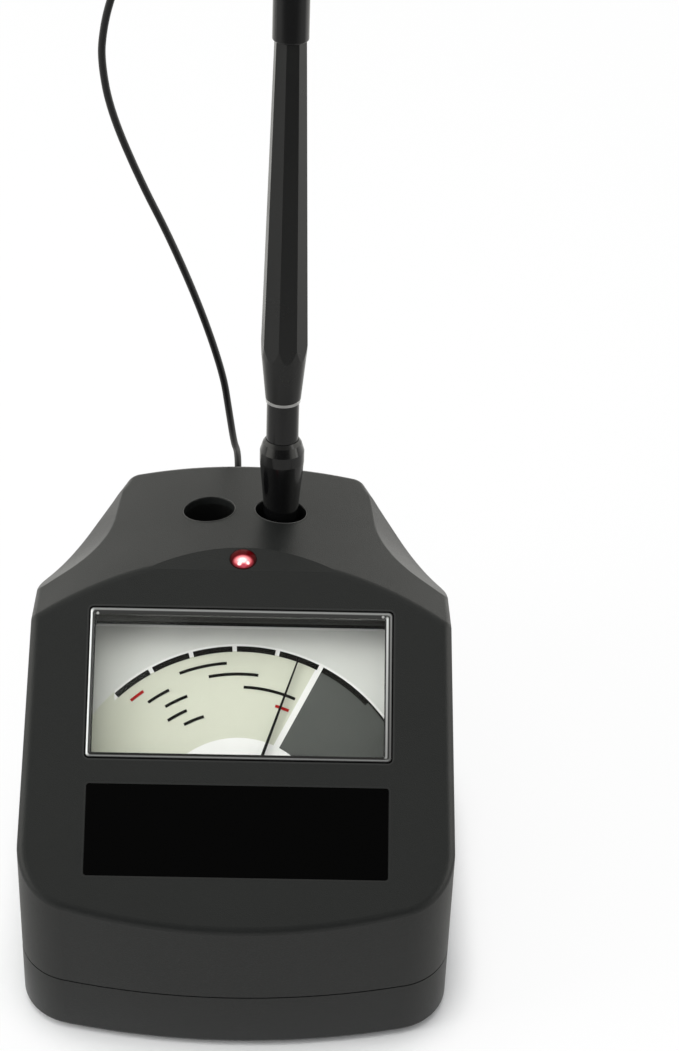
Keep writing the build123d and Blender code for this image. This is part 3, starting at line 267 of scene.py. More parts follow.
def turned(name, profile, origin, axis, sides=96):
    """A surface turned about an axis.

    Point (i, k) lies at origin + axis * height(i) + radius(i) * (cos a * right + sin a * front),
    with the angle a = 2 pi k / sides. A profile that starts and ends on the axis closes it.
    """
    heights, radii = np.array(profile, float).T
    angles = np.linspace(0, 2 * np.pi, sides, endpoint=False)
    front = np.cross(axis, rightward)
    ring = np.cos(angles)[:, None] * rightward + np.sin(angles)[:, None] * front
    points = origin + heights[:, None, None] * axis + radii[:, None, None] * ring
    return make_object(name, points, grid_faces(len(heights), sides, wrap_columns=True))


def ribbons(name, bands, low, high):
    """Thin closed strips on the panel's slope, each between two lines of (across, upward) points.

    At station k the strip's section is the rectangle from inner(k) to outer(k), low to high.
    """
    all_points, all_faces, count = [], [], 0
    for inner, outer in bands:
        inner, outer = np.asarray(inner), np.asarray(outer)
        ring = [(inner, low), (outer, low), (outer, high), (inner, high)]
        section = np.stack([lifted(line, level) for line, level in ring], 1)
        faces = grid_faces(len(inner), 4, wrap_columns=True)
        last = 4 * (len(inner) - 1)
        caps = np.array([[0, 3, 2, 1], [last, last + 1, last + 2, last + 3]])
        all_points.append(section.reshape(-1, 3))
        all_faces.append(np.vstack([faces, caps]) + count)
        count += 4 * len(inner)
    return make_object(name, np.vstack(all_points), np.vstack(all_faces), smooth_angle=20.0)


# A rounded rectangle's corners, anticlockwise from the upper right one: the angle at each of their
# points, and how much each point belongs to each side.
CORNER_STEPS = 9
corner_turns = (np.arange(4)[:, None] * np.pi / 2 + np.linspace(0, np.pi / 2, CORNER_STEPS)).ravel()
right_share = np.maximum(np.cos(corner_turns), 0.0) ** 2
left_share = np.maximum(-np.cos(corner_turns), 0.0) ** 2
top_share = np.maximum(np.sin(corner_turns), 0.0) ** 2
bottom_share = np.maximum(-np.sin(corner_turns), 0.0) ** 2


def rounded_loop(left, right, bottom, top, corner):
    """A rounded rectangle's outline as (across, upward) points, anticlockwise from its right side.

    Each corner is a quarter circle about its own centre, and the sides are straight between them.
    """
    quarters = np.repeat(np.arange(4), CORNER_STEPS)
    centre_across = np.where((quarters == 0) | (quarters == 3), right - corner, left + corner)
    centre_up = np.where(quarters < 2, top - corner, bottom + corner)
    across = centre_across + corner * np.cos(corner_turns)
    upward = centre_up + corner * np.sin(corner_turns)
    return np.stack([across, upward], 1)


def by_side(left, right, bottom, top):
    """A value for each point of a rounded loop, from one value for each side, blended round the corners."""
    return left * left_share + right * right_share + bottom * bottom_share + top * top_share


def framed(name, loops, levels, painted_tones=None):
    """A closed frame on the panel's slope: loop k lies at level k, and the last loop joins the first.

    Point (k, i) is loop k's point i, lifted off the panel by level k, which is one number or one for
    each point. Painted tones, if given, are each point's painted highlight and painted shade, kept with the
    mesh.
    """
    rows = [lifted(loop, level) for loop, level in zip(loops, levels)]
    faces = grid_faces(len(rows), len(loops[0]), wrap_rows=True, wrap_columns=True)
    return make_object(name, np.stack(rows), faces, smooth_angle=50.0, painted_shine=painted_tones)


# Shader nodes


def feed(tree, socket, value):
    """Sets an input to a plain value, or joins it to another node's output."""
    if isinstance(value, bpy.types.NodeSocket):
        tree.links.new(value, socket)
    else:
        socket.default_value = value


def add_node(tree, kind, values=None, **choices):
    """A node with its choices made and its inputs fed."""
    node = tree.nodes.new("ShaderNode" + kind)
    for name, choice in choices.items():
        setattr(node, name, choice)
    for label, value in (values or {}).items():
        feed(tree, node.inputs[label], value)
    return node


def worked_out(tree, operation, *values):
    """The output of a Math node that is fed in order."""
    return add_node(tree, "Math", dict(enumerate(values)), operation=operation).outputs[0]


def mapped(tree, value, low_at, high_at, low, high):
    """An output that goes from low to high as a value goes between two places."""
    ends = {"Value": value, "From Min": low_at, "From Max": high_at, "To Min": low, "To Max": high}
    return add_node(tree, "MapRange", ends).outputs["Result"]


def scaled(tree, colour, amount):
    """The output of a colour times an amount."""
    return add_node(tree, "VectorMath", {0: colour, "Scale": amount}, operation="SCALE").outputs["Vector"]


def object_places(tree):
    """The output with the place of each point in the frame."""
    return add_node(tree, "TexCoord").outputs["Object"]


def new_group(name, inputs, outputs):
    """A shader node group with named sockets, and what its sockets give and take inside."""
    tree = bpy.data.node_groups.new(name, "ShaderNodeTree")
    for label, (kind, value) in inputs.items():
        socket = tree.interface.new_socket(name=label, in_out="INPUT", socket_type="NodeSocket" + kind)
        if value is not None:
            socket.default_value = value
    for label, kind in outputs.items():
        tree.interface.new_socket(name=label, in_out="OUTPUT", socket_type="NodeSocket" + kind)
    return tree, tree.nodes.new("NodeGroupInput").outputs, tree.nodes.new("NodeGroupOutput").inputs


def grain_group():
    """Fine moulded grain: two noises, one half the size of the other, as a height and a speck mask."""
    inputs = {"Vector": ("Vector", None), "Size": ("Float", 0.3 * MM)}
    tree, given, result = new_group("moulded_grain", inputs, {"Height": "Float", "Speck": "Float"})
    density = worked_out(tree, "DIVIDE", 1.0, given["Size"])
    finer = worked_out(tree, "MULTIPLY", density, 2.1)
    coarse = add_node(tree, "TexNoise", {"Vector": given["Vector"], "Scale": density, "Detail": 1.0})
    fine = add_node(tree, "TexVoronoi", {"Vector": given["Vector"], "Scale": finer}, feature="SMOOTH_F1")
    feed(tree, result["Height"],
         worked_out(tree, "MULTIPLY", coarse.outputs["Fac"], fine.outputs["Distance"]))
    feed(tree, result["Speck"], coarse.outputs["Fac"])
    return tree


def handling_group():
    """Slow patches left by hands and cloths: a noise spread between a low and a high value."""
    inputs = {"Vector": ("Vector", None), "Size": ("Float", 20.0 * MM), "Low": ("Float", 0.4),
              "High": ("Float", 0.5)}
    tree, given, result = new_group("handling", inputs, {"Value": "Float"})
    density = worked_out(tree, "DIVIDE", 1.0, given["Size"])
    patches = add_node(tree, "TexNoise", {"Vector": given["Vector"], "Scale": density, "Detail": 3.0,
                                          "Distortion": 0.4})
    feed(tree, result["Value"],
         mapped(tree, patches.outputs["Fac"], 0.3, 0.7, given["Low"], given["High"]))
    return tree


def tone_group():
    """A colour made lighter and darker by a mask: colour times a factor from 1 - amount to 1 + amount."""
    inputs = {"Colour": ("Color", (0.5, 0.5, 0.5, 1.0)), "Mask": ("Float", 0.5), "Amount": ("Float", 0.1)}
    tree, given, result = new_group("tone", inputs, {"Colour": "Color"})
    centred = worked_out(tree, "SUBTRACT", given["Mask"], 0.5)
    doubled = worked_out(tree, "MULTIPLY", given["Amount"], 2.0)
    factor = worked_out(tree, "MULTIPLY_ADD", centred, doubled, 1.0)
    feed(tree, result["Colour"], scaled(tree, given["Colour"], factor))
    return tree


def brushed_group():
    """Fine lines along one axis: a noise on coordinates that are stretched along Z."""
    inputs = {"Vector": ("Vector", None), "Size": ("Float", 0.2 * MM), "Stretch": ("Float", 0.05)}
    tree, given, result = new_group("brushed", inputs, {"Line": "Float"})
    density = worked_out(tree, "DIVIDE", 1.0, given["Size"])
    shape = add_node(tree, "CombineXYZ", {"X": 1.0, "Y": 1.0, "Z": given["Stretch"]})
    stretched = add_node(tree, "VectorMath", {0: given["Vector"], 1: shape.outputs["Vector"]},
                         operation="MULTIPLY")
    lines = add_node(tree, "TexNoise", {"Vector": stretched.outputs["Vector"], "Scale": density,
                                        "Detail": 2.0})
    feed(tree, result["Line"], lines.outputs["Fac"])
    return tree


GROUP_MAKERS = {"moulded_grain": grain_group, "handling": handling_group, "tone": tone_group,
                "brushed": brushed_group}


def effect(tree, name, **values):
    """The outputs of a shared effect's node. The effect's group is built the first time."""
    group = bpy.data.node_groups.get(name) or GROUP_MAKERS[name]()
    return add_node(tree, "Group", values, node_tree=group).outputs


# Materials


def new_material(name, **sockets):
    """A material, its node tree and its shader. Named values go onto the shader's own sockets."""
    material = bpy.data.materials.new(name)
    material.use_nodes = True
    tree = material.node_tree
    shader = tree.nodes["Principled BSDF"]
    for label, value in sockets.items():
        feed(tree, shader.inputs[label.replace("_", " ")], value)
    return material, tree, shader


def finish(name, colour, roughness, smudge=0.05, tone=0.08, grain=0.3 * MM, depth=0.006 * MM,
           brushed=False, **sockets):
    """A material with grain in its height, slow patches in its gloss and a little unevenness in its colour.

    A brushed finish takes its height and its unevenness from the same lines.
    """
    material, tree, shader = new_material(name, **sockets)
    places = object_places(tree)
    gloss = effect(tree, "handling", Vector=places, Low=max(0.0, roughness - smudge), High=roughness + smudge)
    surface = effect(tree, "brushed" if brushed else "moulded_grain", Vector=places, Size=grain)
    height, mask = surface[0], surface[-1]
    bump = add_node(tree, "Bump", {"Distance": depth, "Height": height})
    tint = effect(tree, "tone", Colour=(*colour, 1.0), Mask=mask, Amount=tone)
    feed(tree, shader.inputs["Base Color"], tint["Colour"])
    feed(tree, shader.inputs["Roughness"], gloss["Value"])
    feed(tree, shader.inputs["Normal"], bump.outputs["Normal"])
    return material


def painted_shine_finish(name, dark, bright, roughness, **sockets):
    """A smooth finish whose colour goes from dark to bright with the painted shine kept in the mesh: painted
    shade to painted highlight.
    """
    material = finish(name, dark, roughness, smudge=0.03, tone=0.0, depth=0.0002 * MM, **sockets)
    tree = material.node_tree
    painted_shine = add_node(tree, "Attribute", attribute_name="painted_shine")
    spread = add_node(tree, "ValToRGB", {"Fac": painted_shine.outputs["Fac"]})
    for stop, colour in zip(spread.color_ramp.elements, (dark, bright)):
        stop.color = (*colour, 1.0)
    feed(tree, tree.nodes["Principled BSDF"].inputs["Base Color"], spread.outputs["Color"])
    return material


def clear_finish(name, colour, ior, roughness=0.02):
    """Clear plastic or glass that lets the lamps through to what lies behind it."""
    material, tree, shader = new_material(name, Base_Color=(*colour, 1.0), Transmission_Weight=1.0, IOR=ior)
    gloss = effect(tree, "handling", Vector=object_places(tree), Low=roughness, High=roughness * 2.5)
    feed(tree, shader.inputs["Roughness"], gloss["Value"])
    passed = [0.5 + 0.5 * value for value in colour]
    passing = add_node(tree, "BsdfTransparent", {"Color": (*passed, 1.0)})
    ray = add_node(tree, "LightPath").outputs
    mix = add_node(tree, "MixShader", {"Fac": ray["Is Shadow Ray"], 1: shader.outputs["BSDF"],
                                       2: passing.outputs["BSDF"]})
    feed(tree, tree.nodes["Material Output"].inputs["Surface"], mix.outputs["Shader"])
    return material


def paint(material, *names):
    """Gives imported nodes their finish."""
    for name in names:
        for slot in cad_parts[name].material_slots:
            slot.material = material


def add_piece(piece, body, slot, material, *nodes):
    """Puts a new piece on its body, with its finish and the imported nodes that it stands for."""
    piece.data.materials.append(material)
    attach(piece, body)
    if nodes:
        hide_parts(*nodes)
    return piece


# Stage


def soft_lamp(name, form, power, colour=(1.0, 1.0, 1.0), mirrored=False):
    """A soft lamp of a place and a size, turned to look at the top cover. The camera doesn't see it."""
    place, size = form
    data = bpy.data.lights.new(name, "AREA")
    data.shape = "RECTANGLE"
    data.size, data.size_y = size
    data.energy = power
    data.color = colour
    lamp = bpy.data.objects.new(name, data)
    lamp.location = place
    lamp.visible_camera = False
    lamp.visible_glossy = mirrored
    look = Vector(box_middle("top_cover")) - Vector(place)
    lamp.rotation_euler = look.to_track_quat("-Z", "Y").to_euler()
    bpy.context.scene.collection.objects.link(lamp)


WHITE = (1.0, 1.0, 1.0, 1.0)


def white_for_looks(tree, plain, surface, white_share, mirrored):
    """Mixes white into a surface for rays that look at it, so that the background stays white.

    The rays are the camera's, and those passed through or mirrored by a piece. The mirrored ones
    meet a colour of their own.
    """
    ray = add_node(tree, "LightPath").outputs
    colour = add_node(tree, "Mix", {"Factor": ray["Is Glossy Ray"], "A": WHITE, "B": mirrored},
                      data_type="RGBA")
    glow = add_node(tree, "Emission", {"Color": colour.outputs["Result"]})
    looks = worked_out(tree, "MAXIMUM", ray["Is Camera Ray"], ray["Is Glossy Ray"])
    looks = worked_out(tree, "MAXIMUM", looks, ray["Is Transmission Ray"])
    share = worked_out(tree, "MULTIPLY", looks, white_share)
    mix = add_node(tree, "MixShader", {"Fac": share, 1: plain, 2: glow.outputs["Emission"]})
    feed(tree, surface, mix.outputs["Shader"])


class TESTER_OT_stage(bpy.types.Operator):
    """Makes the floor, the lamps, the room light and the camera"""

    bl_idname = "tester.stage"
    bl_label = "Stage"

    floor_reach = 3.0
    floor_points = 3
    floor_roughness = 0.9
    # The mirrored floor: its tint, where its front strength gives way to the middle one, and where
    # the rear strength is added. Then how open to the room it is where its white begins and is full.
    floor_tint = (1.0, 0.99, 0.95)
    floor_front = (-1.1, -0.3)
    floor_rear = (0.08, 0.2)
    floor_open = (0.55, 0.9)
    contact_samples = 8
    # The room: its light's colour, its mirrored tint, and the directions between which its mirrored
    # strength changes overhead, on the viewer's side and at both sides.
    room_colour = (0.98, 0.99, 1.0, 1.0)
    room_tint = (1.0, 0.99, 0.93)
    room_overhead = (0.4, 1.0)
    room_front = (-0.9, -0.3)
    room_sides = (0.6, 0.85)
    # The lamps, in metres: each one's place, and its width and height. The right one is far weaker.
    key_lamp = ((-0.15, 0.1, 1.1), (0.9, 0.7))
    left_lamp = ((-0.8, -0.25, 0.5), (0.35, 0.8))
    right_lamp = ((0.75, -0.1, 0.45), (0.15, 0.8))
    key_colour = (0.985, 1.0, 0.965)
    right_lamp_share = 0.08
    # The camera's place in millimetres, and its axes to the right and upwards in its picture.
    camera_place = (8.84, -572.10, 628.46)
    camera_right = (0.99958, -0.00179, 0.02897)
    camera_up = (-0.02040, 0.66685, 0.74491)

    def execute(self, context):
        stage = settings().stage
        context.scene.view_settings.view_transform = "Standard"
        self.make_floor(stage)
        self.make_world(context.scene, stage)
        self.make_lamps(stage)
        self.make_camera(context.scene, stage)
        return {"FINISHED"}

    def make_floor(self, stage):
        """A wide flat floor under the feet, plain white but for the shade close to the tester."""
        across = np.linspace(-self.floor_reach, self.floor_reach, self.floor_points)
        x, y = np.meshgrid(across, across, indexing="ij")
        floor = make_object("floor", np.stack([x, y, np.zeros_like(x)], -1),
                            grid_faces(self.floor_points, self.floor_points))
        material, tree, shader = new_material("floor", Base_Color=(*stage.floor, 1.0), Specular_IOR_Level=0.0,
                                              Roughness=self.floor_roughness)
        place = add_node(tree, "SeparateXYZ", {"Vector": object_places(tree)}).outputs
        front = mapped(tree, place["Y"], *self.floor_front, stage.front_white, stage.floor_white)
        rear = mapped(tree, place["Y"], *self.floor_rear, 0.0, stage.rear_white)
        amount = worked_out(tree, "ADD", front, rear)
        contact = add_node(tree, "AmbientOcclusion", {"Distance": stage.contact},
                           samples=self.contact_samples)
        share = mapped(tree, contact.outputs["AO"], *self.floor_open, 0.0, stage.white_share)
        white_for_looks(tree, shader.outputs["BSDF"], tree.nodes["Material Output"].inputs["Surface"], share,
                        scaled(tree, self.floor_tint, amount))
        floor.data.materials.append(material)

    def make_world(self, scene, stage):
        """Even light from all round, seen as white, and mirrored as lighter at the sides than in front."""
        world = bpy.data.worlds.new("room")
        world.use_nodes = True
        scene.world = world
        tree = world.node_tree
        room = tree.nodes["Background"]
        feed(tree, room.inputs["Color"], self.room_colour)
        feed(tree, room.inputs["Strength"], stage.world_strength)
        places = add_node(tree, "TexCoord").outputs["Generated"]
        way = add_node(tree, "SeparateXYZ", {"Vector": places}).outputs
        height = mapped(tree, way["Z"], *self.room_overhead, stage.low_white, stage.high_white)
        front = mapped(tree, way["Y"], *self.room_front, stage.front_white, 1.0)
        sideways = worked_out(tree, "ABSOLUTE", way["X"])
        side = mapped(tree, sideways, *self.room_sides, 0.0, stage.side_white)
        amount = worked_out(tree, "MULTIPLY_ADD", height, front, side)
        white_for_looks(tree, room.outputs["Background"], tree.nodes["World Output"].inputs["Surface"], 1.0,
                        scaled(tree, self.room_tint, amount))

    def make_lamps(self, stage):
        """A large soft lamp above, and one on each side, of which only the right one is mirrored."""
        soft_lamp("key_lamp", self.key_lamp, stage.key_strength, self.key_colour)
        soft_lamp("left_lamp", self.left_lamp, stage.side_strength)
        soft_lamp("right_lamp", self.right_lamp, self.right_lamp_share * stage.side_strength, mirrored=True)

    def make_camera(self, scene, stage):
        """A camera at the photograph's place: its three axes and its place in the frame."""
        data = bpy.data.cameras.new("camera")
        data.lens = stage.lens
        camera = bpy.data.objects.new("camera", data)
        right = Vector(self.camera_right)
        up = Vector(self.camera_up)
        turn = Matrix((right, up, right.cross(up))).transposed()
        camera.matrix_world = Matrix.Translation(Vector(self.camera_place) * MM) @ turn.to_4x4()
        scene.collection.objects.link(camera)
        scene.camera = camera


# Cord

CORD_DIAMETER = 2.0 * MM
SPLINE_STEPS = 12
# The cord's route in millimetres: from the gland up past the rear edge, and over to the probe's tail.
# Its points were chosen with the rear wall this much further back, and are moved forward by it.
ROUTE_SETBACK = (0.0, 8.5, 0.0)
ROUTE = (
    (-3.0, 93.0, 42.0),
    (-3.1, 100.4, 46.8),
    (-3.0, 102.9, 55.6),
    (-3.3, 99.3, 64.2),
    (-4.1, 93.6, 71.5),
    (-5.6, 89.0, 88.0),
    (-7.2, 88.0, 101.5),
    (-13.2, 87.0, 124.6),
    (-21.5, 86.0, 149.4),
    (-29.2, 85.0, 168.8),
    (-36.5, 84.0, 191.2),
    (-38.5, 84.2, 206.4),
    (-37.7, 84.0, 215.3),
    (-35.8, 84.0, 224.1),
    (-30.4, 83.7, 240.2),
    (-24.4, 83.5, 256.2),
    (-18.3, 83.5, 271.5),
    (-12.2, 83.8, 287.3),
    (-4.5, 84.2, 291.8),
    (4.2, 84.5, 290.2),
    (9.9, 84.1, 283.4),
)
TAIL_LEAD = 10.0 * MM


def cord_path(exit_point, tail_point):
    """Points along a smooth spline through the cord's route, from the gland to the probe's tail."""
    middle = np.array(ROUTE) * MM - np.array(ROUTE_SETBACK) * MM
    controls = np.vstack([exit_point, middle, tail_point + TAIL_LEAD * probe_axis, tail_point])
    curve = bpy.data.curves.new("cord_route", "CURVE")
    curve.dimensions = "3D"
    curve.resolution_u = SPLINE_STEPS
    spline = curve.splines.new("NURBS")
    spline.points.add(len(controls) - 1)
    spline.points.foreach_set("co", np.hstack([controls, np.ones((len(controls), 1))]).ravel())
    spline.order_u = 3
    spline.use_endpoint_u = True
    holder = bpy.data.objects.new("cord_route", curve)
    bpy.context.scene.collection.objects.link(holder)
    line = bpy.data.meshes.new_from_object(holder)
    points = np.zeros(3 * len(line.vertices))
    line.vertices.foreach_get("co", points)
    bpy.data.objects.remove(holder)
    bpy.data.meshes.remove(line)
    return points.reshape(-1, 3)


def tube(name, path, radius, line=(1.0, 1.0, -0.3), sides=20):
    """A round tube along a path.

    Ring k lies in the plane across the path's direction t there: its two axes are the direction
    square to t and to one fixed line, which the path never runs along, and the one square to both.
    """
    tangent = np.gradient(path, axis=0)
    tangent /= np.linalg.norm(tangent, axis=1, keepdims=True)
    across = np.cross(tangent, np.array(line))
    across /= np.linalg.norm(across, axis=1, keepdims=True)
    rising = np.cross(tangent, across)
    angles = np.linspace(0, 2 * np.pi, sides, endpoint=False)
    ring = np.cos(angles)[None, :, None] * across[:, None] + np.sin(angles)[None, :, None] * rising[:, None]
    points = path[:, None] + radius * ring
    faces = [list(face) for face in grid_faces(len(path), sides, wrap_columns=True)]
    last = sides * (len(path) - 1)
    faces += [list(range(sides)), list(range(last, last + sides))]
    return make_object(name, points, faces)


class TESTER_OT_cord(bpy.types.Operator):
    """Makes the probe's cord from the gland in the rear wall to the probe's tail"""

    bl_idname = "tester.cord"
    bl_label = "Cord"

    def execute(self, context):
        low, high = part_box("cord_gland")
        exit_point = np.array([(low.x + high.x) / 2, high.y, (low.z + high.z) / 2])
        path = cord_path(exit_point, on_probe(PROBE_TAIL))
        cord = tube("cord", path, CORD_DIAMETER / 2)
        rubber = finish("cord_black", (0.006, 0.006, 0.006), 0.42, grain=0.4 * MM, depth=0.002 * MM)
        cord.data.materials.append(rubber)
        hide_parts("probe_cord")
        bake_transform(cord)
        paint(rubber, "inner_cord")
        return {"FINISHED"}


# Housing


class TESTER_OT_covers(bpy.types.Operator):
    """Gives the two covers, the battery door and the name panel their finishes"""

    bl_idname = "tester.covers"
    bl_label = "Covers"

    moulded = (("housing_plastic", ("top_cover",)), ("base_plastic", ("bottom_cover", "battery_door")))
    # The name panel's edge from its inside out: how far it reaches out and its level, in millimetres.
    name_edge_rows = ((0.2, -0.05), (0.22, 0.02), (0.4, 0.03), (0.65, 0.02), (0.7, -0.05))
    name_corner = 0.5 * MM

    def execute(self, context):
        looks = settings().finishes
        for name, nodes in self.moulded:
            paint(finish(name, looks.housing, 0.34, smudge=0.03, tone=0.12, grain=looks.grain_size,
                         depth=looks.grain_depth, Specular_IOR_Level=0.4), *nodes)
        paint(finish("panel_black", looks.name_panel, 0.22, smudge=0.02, tone=0.02, depth=0.0005 * MM,
                     Specular_IOR_Level=0.03), "name_panel")
        self.make_name_edge(finish("name_edge", looks.housing, 0.35, depth=0.001 * MM))
        return {"FINISHED"}

    def make_name_edge(self, material):
        """A thin moulded edge round the name panel, whose place on the slope comes from its own box."""
        low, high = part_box("name_panel")
        half = high.x
        bottom = (low.y - panel_origin[1]) / math.cos(PANEL_TILT)
        top = (high.z - panel_origin[2]) / math.sin(PANEL_TILT)
        rows = np.array(self.name_edge_rows) * MM
        loops = [rounded_loop(-half - reach, half + reach, bottom - reach, top + reach,
                              self.name_corner + reach) for reach in rows[:, 0]]
        add_piece(framed("name_edge", loops, rows[:, 1]), "housing", "housing_plastic", material)


class TESTER_OT_fixings(bpy.types.Operator):
    """Finishes the feet, the screws and the parts in the rear wall"""

    bl_idname = "tester.fixings"
    bl_label = "Feet, screws and rear parts"

    def execute(self, context):
        rubber = finish("rubber_black", (0.012, 0.012, 0.012), 0.75, depth=0.01 * MM)
        steel = finish("steel", (0.55, 0.55, 0.56), 0.3, grain=0.15 * MM, brushed=True, Metallic=1.0)
        moulded = finish("chip_black", (0.011, 0.011, 0.011), 0.45)
        grey = finish("case_grey", (0.035, 0.036, 0.037), 0.5)
        paint(rubber, "rubber_feet", "cord_gland", "tail_boot")
        paint(steel, "case_screws", "meter_screws", "board_screws", "well_screws", "battery_contacts")
        paint(moulded, "power_socket", "switch_knob", "board_chips", "supply_relay")
        paint(grey, "switch_body", "setting_trimmer")
        return {"FINISHED"}


# Window and dial


class TESTER_OT_window(bpy.types.Operator):
    """Makes the clear window with its moulded edge in painted highlights and painted shade, and the dark case
    behind it
    """

    bl_idname = "tester.window"
    bl_label = "Window"

    # The moulded edge from its outside in: the share of the way to the pane, the height in
    # millimetres, and the painted highlight on the left, right, lower and upper side, from 0 for painted
    # shade to 1 for full painted highlight.
    edge_rows = (
        (0.0, -1.3, 0.0, 0.0, 0.0, 0.0),
        (0.0, -0.3, 0.0, 0.0, 0.0, 0.0),
        (0.03, 0.0, 0.0, 0.0, 0.0, 0.0),
        (0.1, 0.12, 0.0, 0.0, 0.01, 0.03),
        (0.16, 0.17, 0.5, 0.15, 0.03, 0.13),
        (0.24, 0.24, 1.0, 0.34, 0.2, 0.26),
        (0.32, 0.28, 1.0, 0.2, 0.26, 0.3),
        (0.4, 0.3, 1.0, 0.02, 0.22, 0.24),
        (0.5, 0.3, 0.9, 0.01, 0.06, 0.04),
        (0.57, 0.3, 0.3, 0.2, 0.01, 0.02),
        (0.62, 0.3, 0.02, 0.75, 0.0, 0.02),
        (0.8, 0.3, 0.02, 0.75, 0.0, 0.02),
        (0.88, 0.3, 0.12, 0.3, 0.01, 0.02),
        (0.93, 0.3, 0.12, 0.02, 0.01, 0.02),
        (1.0, 0.29, 0.02, 0.02, 0.0, 0.01),
        (1.0, -1.3, 0.0, 0.0, 0.0, 0.0),
    )
    # The pane's edges in millimetres: left, right, lower and upper.
    pane_edges = (-38.25, 37.5, 45.75, 82.45)
    # The case's opening: level in millimetres, then its left, right, lower and upper edge, and the
    # painted highlight of its upper side, brightest along its ledge.
    case_rows = (
        (-3.35, -40.1, 40.1, 43.0, 84.7, 0.0),
        (-3.35, -39.0, 38.2, 45.9, 84.0, 0.1),
        (-3.5, -38.9, 38.1, 46.0, 83.95, 0.3),
        (-5.6, -38.7, 37.95, 46.3, 83.6, 0.35),
        (-7.8, -38.5, 37.8, 46.7, 83.25, 0.4),
        (-8.2, -38.5, 37.8, 46.7, 83.1, 0.8),
        (-8.4, -38.4, 37.75, 46.8, 82.85, 0.8),
        (-8.5, -38.4, 37.75, 46.8, 82.75, 0.0),
        (-9.1, -38.35, 37.72, 47.0, 82.1, 0.0),
        (-9.1, -40.1, 40.1, 43.0, 84.7, 0.0),
    )
    # The case's walls don't go below these levels on the left, right, lower and upper side.
    case_floor = (-9.1 * MM, -9.1 * MM, -7.6 * MM, -9.1 * MM)
    # The painted highlight of the case's left, right and lower side.
    case_painted_shine = (0.25, 0.25, 0.1)
    case_corner = 0.6 * MM
    # Painted reflection of the dark sector: the edge's right side is painted darker below this height up the
    # panel, beside the dark sector.
    sector_top = 60.0 * MM
    sector_blend = 3.0 * MM
    sector_painted_reflection = 0.6
    pane_corner = 0.5 * MM
    pane_levels = (0.28 * MM, -0.9 * MM)
    # The two small studs: their places on the panel in millimetres, their level, and their profile
    # as heights and radii.
    stud_places = ((-37.4, 82.62), (36.85, 82.98))
    stud_level = 0.29 * MM
    stud_profile = ((-0.4, 0.0), (-0.4, 0.4), (-0.05, 0.42), (0.02, 0.36), (0.06, 0.2), (0.07, 0.0))
    # The joint and the opening's edge, from the cover out: how far out and the level, in millimetres.
    joint_rows = ((0.06, -0.9), (0.06, -0.12), (0.21, -0.12), (0.21, -0.9))
    opening_rows = ((0.3, -0.05), (0.3, 0.02), (0.5, 0.035), (0.7, 0.02), (0.75, -0.05))

    def execute(self, context):
        window = settings().window
        self.make_edge(window)
        self.make_pane()
        self.make_case()
        self.make_gap(window)
        paint(finish("meter_case", (0.03, 0.031, 0.031), 0.42), "meter_case")
        return {"FINISHED"}

    def make_edge(self, window):
        """The cover's edge: loops that run from its outer outline to the pane's by each row's share.

        Its colour paints the bright lines and the dark ones that the clear edge shows, as painted highlight
        and painted shade, and a painted reflection of the dial beside it makes its right side darker where
        the dark sector begins.
        """
        outer = rounded_loop(-window.half_width, window.half_width, window.bottom, window.top, window.corner)
        inner = self.pane_loop()
        rows = np.array(self.edge_rows)
        loops = [outer + share * (inner - outer) for share in rows[:, 0]]
        painted_tones = np.stack([by_side(left, right, bottom, top) for _, _, left, right, bottom, top in rows])
        # Painted reflection: the right side's painted highlight is dimmed beside the dark sector.
        beside_sector = np.clip((self.sector_top - outer[:, 1]) / self.sector_blend, 0.0, 1.0)
        painted_tones = painted_tones * (1.0 - self.sector_painted_reflection * right_share * beside_sector)
        edge = framed("lens_edge", loops, rows[:, 1] * MM, painted_tones)
        add_piece(edge, "housing", "lens_clear",
                  painted_shine_finish("lens_edge", window.edge_painted_shade, window.edge_painted_highlight, 0.16), "lens")

    def pane_loop(self):
        """The pane's outline."""
        return rounded_loop(*[edge * MM for edge in self.pane_edges], self.pane_corner)

    def make_pane(self):
        """The clear pane: two flat faces inside the edge, about a millimetre apart."""
        loop = self.pane_loop()
        count = len(loop)
        points = np.stack([lifted(loop, level) for level in self.pane_levels])
        faces = [list(range(count)), list(range(count, 2 * count))]
        faces += [list(face) for face in grid_faces(2, count, wrap_columns=True)]
        pane = make_object("lens_pane", points, faces)
        add_piece(pane, "housing", "lens_clear", clear_finish("lens_clear", (0.98, 0.985, 0.98), 1.2), "lens")

    def make_case(self):
        """The dark walls between the pane and the dial, stepped, and undercut above the needle's sweep, with
        painted highlights along their ledge and sides.
        """
        rows = np.array(self.case_rows) * MM
        loops = [rounded_loop(*edges, self.case_corner) for edges in rows[:, 1:5]]
        levels = [np.maximum(level, by_side(*self.case_floor)) for level in rows[:, 0]]
        painted_tones = np.stack([by_side(*self.case_painted_shine, row[5]) for row in self.case_rows])
        case = framed("case_walls", loops, levels, painted_tones)
        # Painted highlights: the walls go from near black to a lighter grey where their painted shine is
        # high.
        dark = painted_shine_finish("case_walls", (0.0015, 0.0015, 0.0014), (0.075, 0.076, 0.073), 0.5,
                            Specular_IOR_Level=0.15)
        add_piece(case, "housing", "case_grey", dark)
        pale = finish("case_studs", (0.32, 0.32, 0.31), 0.35, depth=0.001 * MM)
        profile = np.array(self.stud_profile) * MM
        for number, (across, upward) in enumerate(self.stud_places):
            place = on_panel(across * MM, upward * MM, self.stud_level)
            stud = turned(f"case_stud_{number + 1}", profile, place, panel_out, sides=24)
            add_piece(stud, "housing", "case_grey", pale)

